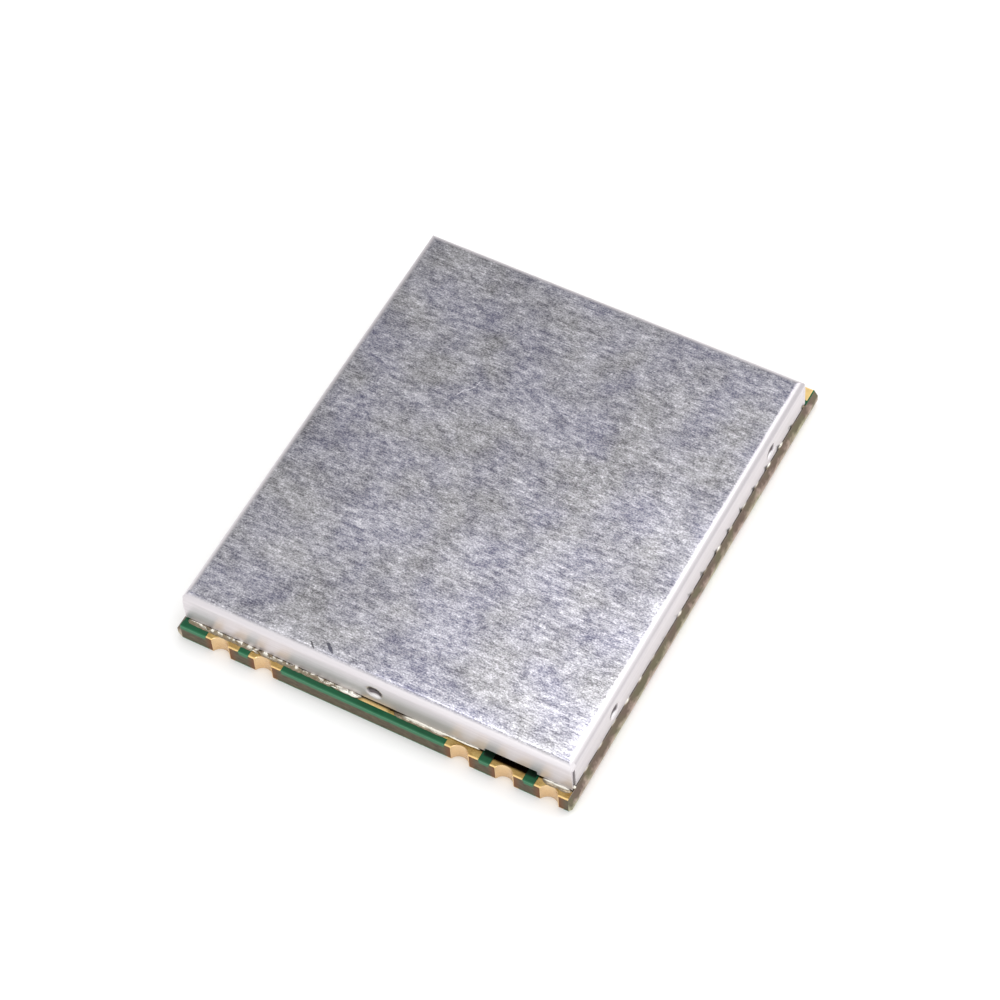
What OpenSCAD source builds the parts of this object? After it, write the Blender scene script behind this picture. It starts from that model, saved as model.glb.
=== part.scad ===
// Castellated video receiver module: a small circuit board with plated half-holes along both short
// edges, a shield frame soldered to its ground ring, a tinned cover snapped over the frame, and the
// receiver circuit under the cover. Millimetres. X runs along the front edge, Y towards the rear edge
// and Z up. The origin is under the middle of the board, on the plane that it is soldered down to.

/* [Board] */
// Width of the board, along its routed front and rear edges
board_w = 23; // [20:0.5:30]
// Length of the board, along its scored sides
board_l = 28; // [25:0.5:40]
// Thickness of the bare laminate
core_t = 1; // [0.6:0.1:1.6]
// Thickness of the copper or solder mask on each face
layer_t = 0.05; // [0.03:0.01:0.08]
// How far the scoring takes each face back from the snapped side
score_inset = 0.2; // [0.1:0.01:0.3]
// Thickness of the web that was left to snap between the scores
score_web = 0.4; // [0.2:0.05:0.5]

/* [Half-holes and lands] */
// Spacing of neighbouring half-holes
pad_pitch = 2.54; // [2.4:0.01:3]
// Diameter of a plated half-hole
notch_d = 1.1; // [0.8:0.05:1.3]
// How far a half-hole's centre lies outside the routed edge
notch_out = 0.23; // [0:0.01:0.3]
// Thickness of the plating in a half-hole
plating_t = 0.05; // [0.03:0.01:0.1]
// Width of a land on the upper face
land_w = 1.93; // [1.6:0.01:2.2]
// Width of the antenna's land
antenna_land_w = 1.87; // [1.5:0.01:2.1]
// How far the upper face's artwork lies to the right of the drilled half-holes
land_shift = 0.11; // [0.02:0.01:0.15]
// Length of a rear land on the upper face
rear_land_l = 0.8; // [0.5:0.05:0.9]
// Width of a land on the under face
under_land_w = 1.6; // [1.5:0.05:2]
// Length of a land on the under face
under_land_l = 1.5; // [1:0.05:2]
// Left side of the board to the first front half-hole
left_pair_in = 2.6; // [1.5:0.05:4]
// Right side of the board to the last front half-hole
right_trio_in = 1.3; // [1.2:0.02:2]
// Width of the masked strip along the front edge
mask_strip = 0.35; // [0.2:0.01:0.45]
// Width of the mask between the rear lands and the ground ring
mask_gap = 0.3; // [0.15:0.01:0.4]
// How far the ground ring reaches inside the shield frame
ring_in = 0.4; // [0.2:0.05:0.8]

/* [Shield cover] */
// Board's side to the cover's side wall
side_margin = 0.23; // [0.22:0.01:0.4]
// Board's front edge to the cover's front wall
front_margin = 0.56; // [0.5:0.02:1]
// Board's rear edge to the cover's rear wall
rear_margin = 1.12; // [1.06:0.02:1.6]
// Height of the cover
cover_h = 2.1; // [1.95:0.05:3]
// Thickness of the cover's sheet
sheet_t = 0.2; // [0.15:0.01:0.25]
// Outer radius of the cover's folds
bend_r = 0.45; // [0.35:0.05:0.6]
// Clearance between the board and the cover's lower edge
foot_gap = 0.12; // [0.08:0.01:0.3]
// Width of the slit between a side wall and the front or rear wall that laps its end
slit_w = 0.12; // [0.06:0.01:0.2]
// Width of the antenna's gate in the front wall
gate_w = 2.97; // [2.6:0.01:3.1]
// Height of the antenna's gate in the front wall
gate_h = 0.25; // [0.15:0.05:0.6]
// Diameter of a snap dimple
dimple_d = 1; // [0.8:0.05:1.1]
// Depth of a snap dimple
dimple_depth = 0.2; // [0.12:0.01:0.22]
// Height of a dimple's centre above the cover's lower edge
dimple_up = 0.85; // [0.65:0.05:0.9]
// Front wall to the first dimple of a side wall
side_dimple_front = 4.5; // [2:0.1:8]
// Rear wall to the second dimple of a side wall
side_dimple_rear = 4.1; // [2:0.1:8]

/* [Shield frame] */
// Thickness of the frame's sheet
frame_t = 0.2; // [0.15:0.01:0.25]
// Clearance between the frame's walls and the cover's
snap_clear = 0.03; // [0.01:0.01:0.06]
// Width of the rim folded in at the top of the frame
rim_w = 1; // [0.6:0.1:2]
// Spacing of the frame's feet along the sides
foot_pitch = 1.47; // [1.2:0.01:2]
// Width of a foot
foot_w = 0.95; // [0.6:0.05:1.1]
// Height of the slots between the feet
foot_slot_h = 0.15; // [0.08:0.01:0.2]

/* [Solder] */
// Clearance between the solder and the cover's lower edge
solder_clear = 0.03; // [0.01:0.01:0.06]
// Bare land left beyond the solder
solder_edge = 0.03; // [0.01:0.01:0.06]
// Width of the bare stretch below the front dimple
solder_window = 1.65; // [1:0.05:3]

/* [Receiver chip] */
// Side of the chip's square body
chip_w = 6; // [5:0.5:7]
// Height of the chip's body
chip_h = 0.85; // [0.7:0.05:1]
// Spacing of the chip's leads
chip_lead_pitch = 0.5; // [0.4:0.05:0.65]
// Width of a chip lead
chip_lead_w = 0.23; // [0.15:0.01:0.28]
// Length of a chip lead
chip_lead_l = 0.4; // [0.3:0.05:0.5]
// Thickness of the chip's leads and paddle
chip_lead_t = 0.2; // [0.1:0.05:0.25]
// Side of the paddle under the chip
paddle_w = 4.1; // [3:0.1:4.1]
// Corner of the chip's body to its first lead
chip_lead_in = 0.75; // [0.65:0.05:1]

/* [Filters and crystal] */
// Side of the intermediate-frequency filter
saw_w = 5; // [3:0.5:5.5]
// Height of the filter's ceramic tub
saw_h = 1; // [0.7:0.1:1.2]
// Width of the crystal
crystal_w = 2.5; // [2:0.1:3.2]
// Length of the crystal
crystal_l = 3.2; // [2.5:0.1:5]
// Height of the crystal's ceramic tub
crystal_h = 0.5; // [0.4:0.05:0.8]
// Thickness of the lids on the filter and the crystal
lid_t = 0.25; // [0.15:0.05:0.35]
// Ceramic rim left bare round a lid
lid_in = 0.18; // [0.1:0.01:0.3]
// Width of the antenna's band filter
band_w = 1.25; // [1:0.05:1.6]
// Length of the antenna's band filter
band_l = 2; // [1.6:0.1:2.5]
// Height of the antenna's band filter
band_h = 0.95; // [0.6:0.05:1.1]

/* [Amplifiers and regulator] */
// Width of the low-noise amplifier's body
lna_w = 2; // [1.6:0.1:2.4]
// Depth of the low-noise amplifier's body
lna_l = 1.25; // [1:0.05:1.5]
// Height of the low-noise amplifier's body
lna_h = 0.9; // [0.7:0.05:1]
// Width of the video amplifier's body
amp_w = 2.9; // [2.5:0.1:3.2]
// Depth of the video amplifier's body
amp_l = 1.6; // [1.3:0.1:1.8]
// Height of the video amplifier's body
amp_h = 1.1; // [0.9:0.05:1.2]
// Gap between an amplifier's body and the board
standoff = 0.08; // [0.03:0.01:0.12]
// Reach of an amplifier's lead from its body
gull_reach = 0.5; // [0.4:0.05:0.7]
// Width of an amplifier's lead
gull_w = 0.35; // [0.25:0.05:0.45]
// Thickness of an amplifier's lead
gull_t = 0.12; // [0.08:0.01:0.16]
// Width of the regulator's body
reg_w = 4.5; // [4:0.1:5]
// Depth of the regulator's body
reg_l = 2.5; // [2:0.1:2.8]
// Height of the regulator's body
reg_h = 1.5; // [1.2:0.1:1.5]
// Spacing of the regulator's leads
reg_pitch = 1.5; // [1.3:0.1:1.7]
// Length of the regulator's leads
reg_lead_l = 0.9; // [0.6:0.1:1.2]
// Width of the regulator's leads
reg_lead_w = 0.45; // [0.35:0.05:0.6]
// Thickness of the regulator's leads and tab
reg_lead_t = 0.4; // [0.3:0.05:0.5]
// Width of the regulator's tab
reg_tab_w = 1.7; // [1.4:0.1:2]
// Length of the regulator's tab
reg_tab_l = 0.5; // [0.3:0.1:0.8]

/* [Chip parts] */
// Length of a small chip capacitor or resistor
small_l = 1; // [0.8:0.1:1.2]
// Width of a small chip capacitor or resistor
small_w = 0.5; // [0.4:0.05:0.6]
// Height of a small chip capacitor
cap_h = 0.5; // [0.4:0.05:0.6]
// Height of a small chip resistor
resistor_h = 0.35; // [0.3:0.05:0.45]
// Length of a chip inductor
inductor_l = 1.6; // [1.4:0.1:1.8]
// Width and height of a chip inductor
inductor_w = 0.8; // [0.6:0.05:1]
// Length of a supply capacitor
bulk_l = 2; // [1.6:0.1:2.2]
// Width and height of a supply capacitor
bulk_w = 1.25; // [0.8:0.05:1.4]
// Length of the tinned end on a chip part
end_l = 0.22; // [0.15:0.01:0.28]
// Spacing of the chip parts in a row
small_pitch = 0.95; // [0.8:0.05:1.1]
// Clearance between a row of chip parts and its neighbour
small_gap = 0.4; // [0.3:0.05:0.6]
// Clearance between the larger components
part_gap = 0.8; // [0.6:0.1:1]
// Length of the antenna's line inside the frame
line_l = 1.5; // [1:0.1:2]
// Width of the antenna's line
line_w = 1; // [0.6:0.1:1.4]

/* [Hidden] */
$fn = 48;
// Overshoot of a cut past the face that it opens
through = 0.5;
// Least inner radius of a fold
least_r = 0.05;

// Place of one of several things spaced evenly about the middle, counted from 0
function spaced(i, count, pitch) = (i - (count - 1) / 2) * pitch;

// Board levels and places of the half-holes
board_top = core_t + 2 * layer_t;
face_w = board_w - 2 * score_inset;
left_pair_x = -board_w / 2 + left_pair_in;
last_front_x = board_w / 2 - right_trio_in;
antenna_x = last_front_x - pad_pitch;
ground_front_x = [left_pair_x, left_pair_x + pad_pitch, antenna_x - pad_pitch, last_front_x];
front_x = concat(ground_front_x, [antenna_x]);
antenna_land_x = antenna_x + land_shift;
rear_pads = floor((face_w - land_w - 2 * land_shift) / pad_pitch) + 1;
rear_x = [for (i = [0:rear_pads - 1]) spaced(i, rear_pads, pad_pitch)];

// Shield cover, frame and the gate that the antenna's land passes through
cover_w = board_w - 2 * side_margin;
cover_l = board_l - front_margin - rear_margin;
cover_y = (front_margin - rear_margin) / 2;
cover_z = board_top + foot_gap;
wall_in = sheet_t + snap_clear;
frame_w = cover_w - 2 * wall_in;
frame_l = cover_l - 2 * wall_in;
frame_h = foot_gap + cover_h - sheet_t;
frame_r = bend_r - sheet_t + 2 * snap_clear;
frame_inner_r = max(frame_r - frame_t, least_r);
foot_count = floor((frame_l - 2 * frame_r) / foot_pitch);

// A dimple and the bump on its inner side are two spheres on one centre
dimple_r = (pow(dimple_d / 2, 2) + pow(dimple_depth, 2)) / (2 * dimple_depth);
dimple_out = dimple_r - dimple_depth;
bump_r = dimple_r + sheet_t;
frame_hole_r = sqrt(pow(bump_r, 2) - pow(dimple_out + wall_in, 2)) + snap_clear;

// Ground ring round the foot of the frame
ring_x = face_w / 2;
ring_front_y = -board_l / 2 + mask_strip;
ring_rear_y = board_l / 2 - rear_land_l - mask_gap;
ring_open_w = 2 * pad_pitch - land_w;
ring_in_x = frame_w / 2 - frame_t - ring_in;
ring_in_front_y = cover_y - frame_l / 2 + frame_t + ring_in;
ring_in_rear_y = cover_y + frame_l / 2 - frame_t - ring_in;

// Solder between the frame's foot and the edge of the ring
solder_h = foot_gap - solder_clear;
solder_front = cover_y - frame_l / 2 - ring_front_y - solder_edge;
solder_rear = ring_rear_y - (cover_y + frame_l / 2) - solder_edge;
solder_side = ring_x - frame_w / 2 - solder_edge;

// The circuit follows the antenna's line inwards, then spreads round the receiver chip
line_end_y = ring_in_front_y + line_l;
coupling_y = line_end_y - end_l + small_l / 2;
band_y = coupling_y + small_l / 2 + small_gap + band_l / 2;
lna_span = lna_l + 2 * gull_reach;
lna_y = band_y + band_l / 2 + small_gap + lna_span / 2;
chip_x = -1;
chip_y = lna_y + lna_span / 2 + part_gap + max(saw_w, chip_w - 2 * small_gap) / 2;
chip_leads = floor((chip_w - 2 * chip_lead_in) / chip_lead_pitch) + 1;
saw_x = chip_x + chip_w / 2 + part_gap + saw_w / 2;
crystal_x = chip_x - chip_w / 2 - part_gap - crystal_w / 2;
row_small = 6;
row_front_y = chip_y - chip_w / 2 - small_gap - small_l / 2;
row_rear_y = chip_y + chip_w / 2 + small_gap + small_l / 2;
column_small = 4;
column_x = crystal_x - crystal_w / 2 - small_gap - small_w / 2;
coil_count = 3;
coil_x = antenna_land_x - lna_w / 2 - part_gap - inductor_l / 2;
rear_row_y = row_rear_y + small_l / 2 + part_gap + max(bulk_l + small_gap / 2, reg_l / 2 + reg_lead_l);
amp_x = chip_x - bulk_w / 2 - part_gap - amp_w / 2;
reg_x = chip_x + bulk_w / 2 + part_gap + reg_w / 2;

// A rectangle given by its two corners
module span(from, to) {
    translate(from) square(to - from);
}

// Section of the laminate across the scored sides
module scored_section() {
    half = board_w / 2;
    web_low = (core_t - score_web) / 2;
    web_high = (core_t + score_web) / 2;
    polygon([
        [-face_w / 2, 0], [face_w / 2, 0], [half, web_low], [half, web_high],
        [face_w / 2, core_t], [-face_w / 2, core_t], [-half, web_high], [-half, web_low]
    ]);
}

// Puts its children at a half-hole, with the routed edge along X and the board towards +Y
module at_front(x) {
    translate([x, -board_l / 2, 0]) children();
}

module at_rear(x) {
    translate([x, board_l / 2, 0]) rotate(180) children();
}

// The round of a half-hole, all through the board
module notch(d) {
    translate([0, -notch_out, -through]) cylinder(d = d, h = board_top + 2 * through);
}

// A plated half-hole: its upper land, its barrel and its land underneath, as one piece of copper
module castellation(top_x, top_w, top_l) {
    difference() {
        union() {
            translate([top_x - top_w / 2, 0, board_top - layer_t]) cube([top_w, top_l, layer_t]);
            translate([-under_land_w / 2, 0, 0]) cube([under_land_w, under_land_l, layer_t]);
            intersection() {
                translate([0, -notch_out, 0]) cylinder(d = notch_d + 2 * plating_t, h = board_top);
                translate([-notch_d, 0, 0]) cube([2 * notch_d, 2 * notch_d, board_top]);
            }
        }
        notch(notch_d);
    }
}

// The ground ring, open where the antenna's land passes, and the lands that join it to the front edge
module ground_outline() {
    difference() {
        span([-ring_x, ring_front_y], [ring_x, ring_rear_y]);
        span([-ring_in_x, ring_in_front_y], [ring_in_x, ring_in_rear_y]);
        translate([antenna_land_x, 0])
            span([-ring_open_w / 2, -board_l / 2], [ring_open_w / 2, ring_in_front_y + through]);
    }
    for (x = ground_front_x) {
        land_x = x + land_shift;
        right = x == last_front_x ? face_w / 2 : land_x + land_w / 2;
        span([land_x - land_w / 2, -board_l / 2], [right, ring_front_y]);
    }
}

// The antenna's land and the line that it feeds
module antenna_outline() {
    translate([antenna_land_x, 0]) {
        span([-antenna_land_w / 2, -board_l / 2], [antenna_land_w / 2, ring_in_front_y]);
        span([-line_w / 2, ring_in_front_y], [line_w / 2, line_end_y]);
    }
}

module board_core() {
    color("#6B5F45") difference() {
        translate([0, board_l / 2, layer_t]) rotate([90, 0, 0]) linear_extrude(board_l) scored_section();
        for (x = front_x) at_front(x) notch(notch_d + 2 * plating_t);
        for (x = rear_x) at_rear(x) notch(notch_d + 2 * plating_t);
    }
}

module top_mask() {
    color("#10603A") translate([0, 0, board_top - layer_t]) linear_extrude(layer_t) difference() {
        square([face_w, board_l], center = true);
        ground_outline();
        antenna_outline();
        for (x = rear_x) translate([x + land_shift, board_l / 2])
            span([-land_w / 2, -rear_land_l], [land_w / 2, 0]);
    }
}

module bottom_mask() {
    under = [under_land_w / 2, under_land_l];
    color("#10603A") linear_extrude(layer_t) difference() {
        square([face_w, board_l], center = true);
        for (x = front_x) translate([x, -board_l / 2]) span([-under.x, 0], under);
        for (x = rear_x) translate([x, board_l / 2]) span([-under.x, -under.y], [under.x, 0]);
    }
}

module ground_land() {
    color("#E3B766") union() {
        difference() {
            translate([0, 0, board_top - layer_t]) linear_extrude(layer_t) ground_outline();
            for (x = ground_front_x) at_front(x) notch(notch_d);
        }
        for (x = ground_front_x) at_front(x) castellation(land_shift, land_w, mask_strip);
    }
}

module antenna_pad() {
    color("#E3B766") union() {
        difference() {
            translate([0, 0, board_top - layer_t]) linear_extrude(layer_t) antenna_outline();
            at_front(antenna_x) notch(notch_d);
        }
        at_front(antenna_x) castellation(land_shift, antenna_land_w, mask_strip);
    }
}

module rear_pad(i) {
    color("#E3B766") at_rear(rear_x[i - 1]) castellation(-land_shift, land_w, rear_land_l);
}

// Section through a folded sheet's outer form: two upright sides, each folded over to the flat top
module folded_section(w, h, r) {
    span([-w / 2, 0], [w / 2, h - r]);
    span([-w / 2 + r, 0], [w / 2 - r, h]);
    for (side = [1, -1]) translate([side * (w / 2 - r), h - r]) circle(r);
}

// A block whose four sides are folded like that, so that neighbouring folds meet in a mitre
module folded_block(w, l, h, r) {
    intersection() {
        rotate([90, 0, 0]) linear_extrude(l, center = true) folded_section(w, h, r);
        rotate([90, 0, 90]) linear_extrude(w, center = true) folded_section(l, h, r);
    }
}

// Puts its children at each dimple, on the cover's outer face with +X pointing out of the wall
module at_dimples() {
    for (side = [1, -1]) translate([0, cover_y, cover_z + dimple_up]) {
        translate([0, side * cover_l / 2, 0]) rotate(side * 90) children();
        for (y = [-cover_l / 2 + side_dimple_front, cover_l / 2 - side_dimple_rear])
            translate([side * cover_w / 2, y, 0]) rotate(90 - side * 90) children();
    }
}

// Opening in the front wall above the antenna's land
module antenna_gate() {
    top = cover_z + gate_h;
    front = cover_y - cover_l / 2;
    translate([antenna_land_x - gate_w / 2, front - through, board_top - through])
        cube([gate_w, wall_in + frame_t + 2 * through, top - board_top + through]);
}

module shield_frame() {
    color("#C6C6CA") difference() {
        translate([0, cover_y, board_top]) difference() {
            folded_block(frame_w, frame_l, frame_h, frame_r);
            translate([0, 0, -through])
                folded_block(frame_w - 2 * frame_t, frame_l - 2 * frame_t, frame_h - frame_t + through,
                    frame_inner_r);
            cube([frame_w - 2 * rim_w, frame_l - 2 * rim_w, 2 * (frame_h + through)], center = true);
            for (i = [0:foot_count - 2], side = [1, -1])
                translate([side * frame_w / 2, spaced(i, foot_count - 1, foot_pitch), 0])
                    cube([2 * frame_t + through, foot_pitch - foot_w, 2 * foot_slot_h], center = true);
        }
        at_dimples() translate([-sheet_t, 0, 0]) rotate([0, -90, 0])
            cylinder(r = frame_hole_r, h = snap_clear + frame_t + through);
        antenna_gate();
    }
}

module shield_cover() {
    color("#B4B4BC") difference() {
        union() {
            translate([0, cover_y, cover_z]) difference() {
                folded_block(cover_w, cover_l, cover_h, bend_r);
                translate([0, 0, -through])
                    folded_block(cover_w - 2 * sheet_t, cover_l - 2 * sheet_t, cover_h - sheet_t + through,
                        bend_r - sheet_t);
            }
            at_dimples() intersection() {
                translate([dimple_out, 0, 0]) sphere(bump_r);
                translate([-sheet_t / 2 - bump_r, -bump_r, -bump_r]) cube([bump_r, 2 * bump_r, 2 * bump_r]);
            }
        }
        at_dimples() translate([dimple_out, 0, 0]) sphere(dimple_r);
        antenna_gate();
        slit_y = cover_l / 2 - sheet_t - slit_w / 2;
        for (x = [1, -1], y = [1, -1])
            translate([x * cover_w / 2 - bend_r, cover_y + y * slit_y - slit_w / 2, cover_z - through])
                cube([2 * bend_r, slit_w, cover_h - bend_r + through]);
    }
}

// A run of solder along a wall, with +X out of the wall and its middle at the origin
module solder_run(length, reach) {
    crown = min(wall_in, reach / 2);
    translate([0, length / 2, 0]) rotate([90, 0, 0]) linear_extrude(length)
        polygon([[0, 0], [reach, 0], [crown, solder_h], [0, solder_h]]);
}

module shield_solder() {
    end_x = frame_w / 2 - frame_r;
    gaps = [
        [-end_x, -solder_window / 2],
        [solder_window / 2, antenna_land_x - ring_open_w / 2],
        [antenna_land_x + ring_open_w / 2, end_x]
    ];
    color("#D2D3D6") translate([0, cover_y, board_top]) {
        for (g = gaps)
            translate([(g[0] + g[1]) / 2, -frame_l / 2, 0]) rotate(-90)
                solder_run(g[1] - g[0], solder_front);
        translate([0, frame_l / 2, 0]) rotate(90) solder_run(2 * end_x, solder_rear);
        for (i = [0:foot_count - 1], side = [1, -1])
            translate([side * frame_w / 2, spaced(i, foot_count, foot_pitch), 0])
                rotate(90 - side * 90) solder_run(foot_w, solder_side);
    }
}

// The chip's leads round the foot of its body, and the paddle in the middle
module chip_lead_set() {
    translate([chip_x, chip_y, board_top]) {
        for (turn = [0:90:270], i = [0:chip_leads - 1]) {
            y = spaced(i, chip_leads, chip_lead_pitch) - chip_lead_w / 2;
            rotate(turn) translate([chip_w / 2 - chip_lead_l, y, 0])
                cube([chip_lead_l, chip_lead_w, chip_lead_t]);
        }
        translate([-paddle_w / 2, -paddle_w / 2, 0]) cube([paddle_w, paddle_w, chip_lead_t]);
    }
}

module receiver_chip() {
    mark_in = chip_lead_in + chip_lead_l;
    color("#26262A") difference() {
        translate([chip_x - chip_w / 2, chip_y - chip_w / 2, board_top]) cube([chip_w, chip_w, chip_h]);
        chip_lead_set();
        translate([chip_x - chip_w / 2 + mark_in, chip_y + chip_w / 2 - mark_in, board_top + chip_h])
            cylinder(d = chip_lead_l, h = chip_lead_t / 2, center = true);
    }
}

module receiver_leads() {
    color("#CFCFD2") chip_lead_set();
}

// A ceramic tub standing on the board, and the lid on it
module tub(x, y, w, l, h) {
    translate([x - w / 2, y - l / 2, board_top]) cube([w, l, h]);
}

module lid(x, y, w, l, h) {
    translate([x - w / 2 + lid_in, y - l / 2 + lid_in, board_top + h])
        cube([w - 2 * lid_in, l - 2 * lid_in, lid_t]);
}

module if_filter_base() {
    color("#D9D2C2") tub(saw_x, chip_y, saw_w, saw_w, saw_h);
}

module if_filter_lid() {
    color("#C9AE6A") lid(saw_x, chip_y, saw_w, saw_w, saw_h);
}

module crystal_base() {
    color("#4A4038") tub(crystal_x, chip_y, crystal_w, crystal_l, crystal_h);
}

module crystal_lid() {
    color("#C8C8CC") lid(crystal_x, chip_y, crystal_w, crystal_l, crystal_h);
}

module band_filter() {
    color("#8F8B84") tub(antenna_land_x, band_y, band_w, band_l, band_h);
}

// A bent lead reaching out along +X from a body's side, its foot on the board
module gull_lead(rise) {
    knee = gull_reach / 2;
    translate([0, gull_w / 2, 0]) rotate([90, 0, 0]) linear_extrude(gull_w) polygon([
        [0, rise], [knee, rise], [knee, gull_t], [gull_reach, gull_t],
        [gull_reach, 0], [knee - gull_t, 0], [knee - gull_t, rise - gull_t], [0, rise - gull_t]
    ]);
}

// Leads along the front and rear of a small amplifier, each side with its own spacings along X
module gull_leads(l, h, front_at, rear_at) {
    rise = standoff + h / 2;
    for (x = front_at) translate([x, -l / 2, 0]) rotate(-90) gull_lead(rise);
    for (x = rear_at) translate([x, l / 2, 0]) rotate(90) gull_lead(rise);
}

module low_noise_amp_body() {
    color("#2A2A2E") translate([antenna_land_x - lna_w / 2, lna_y - lna_l / 2, board_top + standoff])
        cube([lna_w, lna_l, lna_h]);
}

module low_noise_amp_leads() {
    at = lna_w / 2 - gull_w;
    color("#CFCFD2") translate([antenna_land_x, lna_y, board_top])
        gull_leads(lna_l, lna_h, [-at, at], [-at, at]);
}

module video_amp_body() {
    color("#2A2A2E") translate([amp_x - amp_w / 2, rear_row_y - amp_l / 2, board_top + standoff])
        cube([amp_w, amp_l, amp_h]);
}

module video_amp_leads() {
    at = amp_w / 2 - 1.5 * gull_w;
    color("#CFCFD2") translate([amp_x, rear_row_y, board_top])
        gull_leads(amp_l, amp_h, [-at, 0, at], [-at, at]);
}

module regulator_body() {
    color("#2A2A2E") tub(reg_x, rear_row_y, reg_w, reg_l, reg_h);
}

module regulator_leads() {
    color("#CFCFD2") translate([reg_x, rear_row_y, board_top]) {
        for (i = [-1:1]) translate([i * reg_pitch - reg_lead_w / 2, -reg_l / 2 - reg_lead_l, 0])
            cube([reg_lead_w, reg_lead_l, reg_lead_t]);
        translate([-reg_tab_w / 2, reg_l / 2, 0]) cube([reg_tab_w, reg_tab_l, reg_lead_t]);
    }
}

// A chip part lies along X: its body between two tinned ends
module chip_body(l, w, h) {
    translate([-l / 2 + end_l, -w / 2, 0]) cube([l - 2 * end_l, w, h]);
}

module chip_ends(l, w, h) {
    for (x = [-l / 2, l / 2 - end_l]) translate([x, -w / 2, 0]) cube([end_l, w, h]);
}

// Places of the chip parts: rows along the receiver chip, a column by the crystal, and the supply's pair
module at_small_capacitors() {
    for (i = [0:row_small - 1])
        translate([chip_x + spaced(i, row_small, small_pitch), row_front_y, board_top])
            rotate(90) children();
    for (i = [0:column_small - 1])
        translate([column_x, chip_y + spaced(i, column_small, small_l + small_gap), board_top])
            rotate(90) children();
    translate([antenna_land_x, coupling_y, board_top]) rotate(90) children();
}

module at_supply_capacitors() {
    for (side = [1, -1])
        translate([chip_x, rear_row_y + side * (bulk_l + small_gap) / 2, board_top]) rotate(90) children();
}

module at_resistors() {
    for (i = [0:row_small - 1])
        translate([chip_x + spaced(i, row_small, small_pitch), row_rear_y, board_top])
            rotate(90) children();
}

module at_inductors() {
    for (i = [0:coil_count - 1])
        translate([coil_x, coupling_y + i * (inductor_w + small_gap), board_top]) children();
}

module chip_capacitors() {
    color("#9C7A55") union() {
        at_small_capacitors() chip_body(small_l, small_w, cap_h);
        at_supply_capacitors() chip_body(bulk_l, bulk_w, bulk_w);
    }
}

module chip_resistors() {
    color("#232326") at_resistors() chip_body(small_l, small_w, resistor_h);
}

module chip_inductors() {
    color("#3E4A58") at_inductors() chip_body(inductor_l, inductor_w, inductor_w);
}

module chip_terminals() {
    color("#CFCFD2") union() {
        at_small_capacitors() chip_ends(small_l, small_w, cap_h);
        at_supply_capacitors() chip_ends(bulk_l, bulk_w, bulk_w);
        at_resistors() chip_ends(small_l, small_w, resistor_h);
        at_inductors() chip_ends(inductor_l, inductor_w, inductor_w);
    }
}

board_core();
top_mask();
bottom_mask();
ground_land();
antenna_pad();
for (i = [1:rear_pads]) rear_pad(i);
shield_frame();
shield_cover();
shield_solder();
receiver_chip();
receiver_leads();
if_filter_base();
if_filter_lid();
crystal_base();
crystal_lid();
band_filter();
low_noise_amp_body();
low_noise_amp_leads();
video_amp_body();
video_amp_leads();
regulator_body();
regulator_leads();
chip_capacitors();
chip_resistors();
chip_inductors();
chip_terminals();
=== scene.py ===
import math

import bmesh
import bpy
from mathutils import Matrix, Vector, noise


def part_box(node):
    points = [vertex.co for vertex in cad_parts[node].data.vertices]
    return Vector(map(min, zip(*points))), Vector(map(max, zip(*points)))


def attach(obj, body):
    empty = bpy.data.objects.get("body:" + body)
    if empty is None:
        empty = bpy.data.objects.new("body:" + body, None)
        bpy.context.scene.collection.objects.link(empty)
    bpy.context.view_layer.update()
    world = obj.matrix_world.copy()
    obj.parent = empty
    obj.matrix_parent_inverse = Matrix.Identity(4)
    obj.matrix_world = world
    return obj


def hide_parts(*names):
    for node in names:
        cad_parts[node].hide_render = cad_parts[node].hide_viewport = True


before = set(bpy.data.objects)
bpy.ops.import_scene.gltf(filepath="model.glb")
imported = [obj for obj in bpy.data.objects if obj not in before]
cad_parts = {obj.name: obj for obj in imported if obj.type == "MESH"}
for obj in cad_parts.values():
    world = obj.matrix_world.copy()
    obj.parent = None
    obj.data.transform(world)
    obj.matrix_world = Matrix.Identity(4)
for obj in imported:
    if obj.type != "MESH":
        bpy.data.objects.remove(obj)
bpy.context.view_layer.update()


# Board. Glass cloth pressed with epoxy into a stiff brown laminate. The short edges are routed flat, so cut
# plies show as fine level lines, redder beside the half-holes and green along the masked rim. The long sides
# were scored and snapped, which left them torn and pale below, with a pink and olive cast. Their upper part
# is painted darker, partly the cut slope and partly painted shade under the shield's foot.
def linear(hex_colour):
    """An sRGB hex colour as linear red, green, blue and alpha."""
    parts = [int(hex_colour[i:i + 2], 16) / 255 for i in (1, 3, 5)]
    return [c / 12.92 if c <= 0.04045 else ((c + 0.055) / 1.055) ** 2.4 for c in parts] + [1.0]


def add(tree, kind, links, **settings):
    """Adds a node with its settings and links, and gives its outputs by name.

    A link holds another node's output or a plain value.
    """
    made = tree.nodes.new(kind)
    for name, value in settings.items():
        setattr(made, name, value)
    for key, value in links.items():
        named = [s for s in made.inputs if s.enabled and s.name == key]
        socket = named[0] if named else made.inputs[key]
        if isinstance(value, bpy.types.NodeSocket):
            tree.links.new(value, socket)
        else:
            socket.default_value = value
    return {s.name: s for s in made.outputs if s.enabled}


def new_finish(name):
    """A new material, its empty tree and the place on the piece that its patterns read."""
    made = bpy.data.materials.new(name)
    made.use_nodes = True
    made.node_tree.nodes.clear()
    return made, made.node_tree, add(made.node_tree, "ShaderNodeTexCoord", {})["Object"]


def dress(material, *nodes):
    """Gives CAD nodes a material in place of the plain one that they came with."""
    for node in nodes:
        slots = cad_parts[node].data.materials
        slots.clear()
        slots.append(material)


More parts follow.
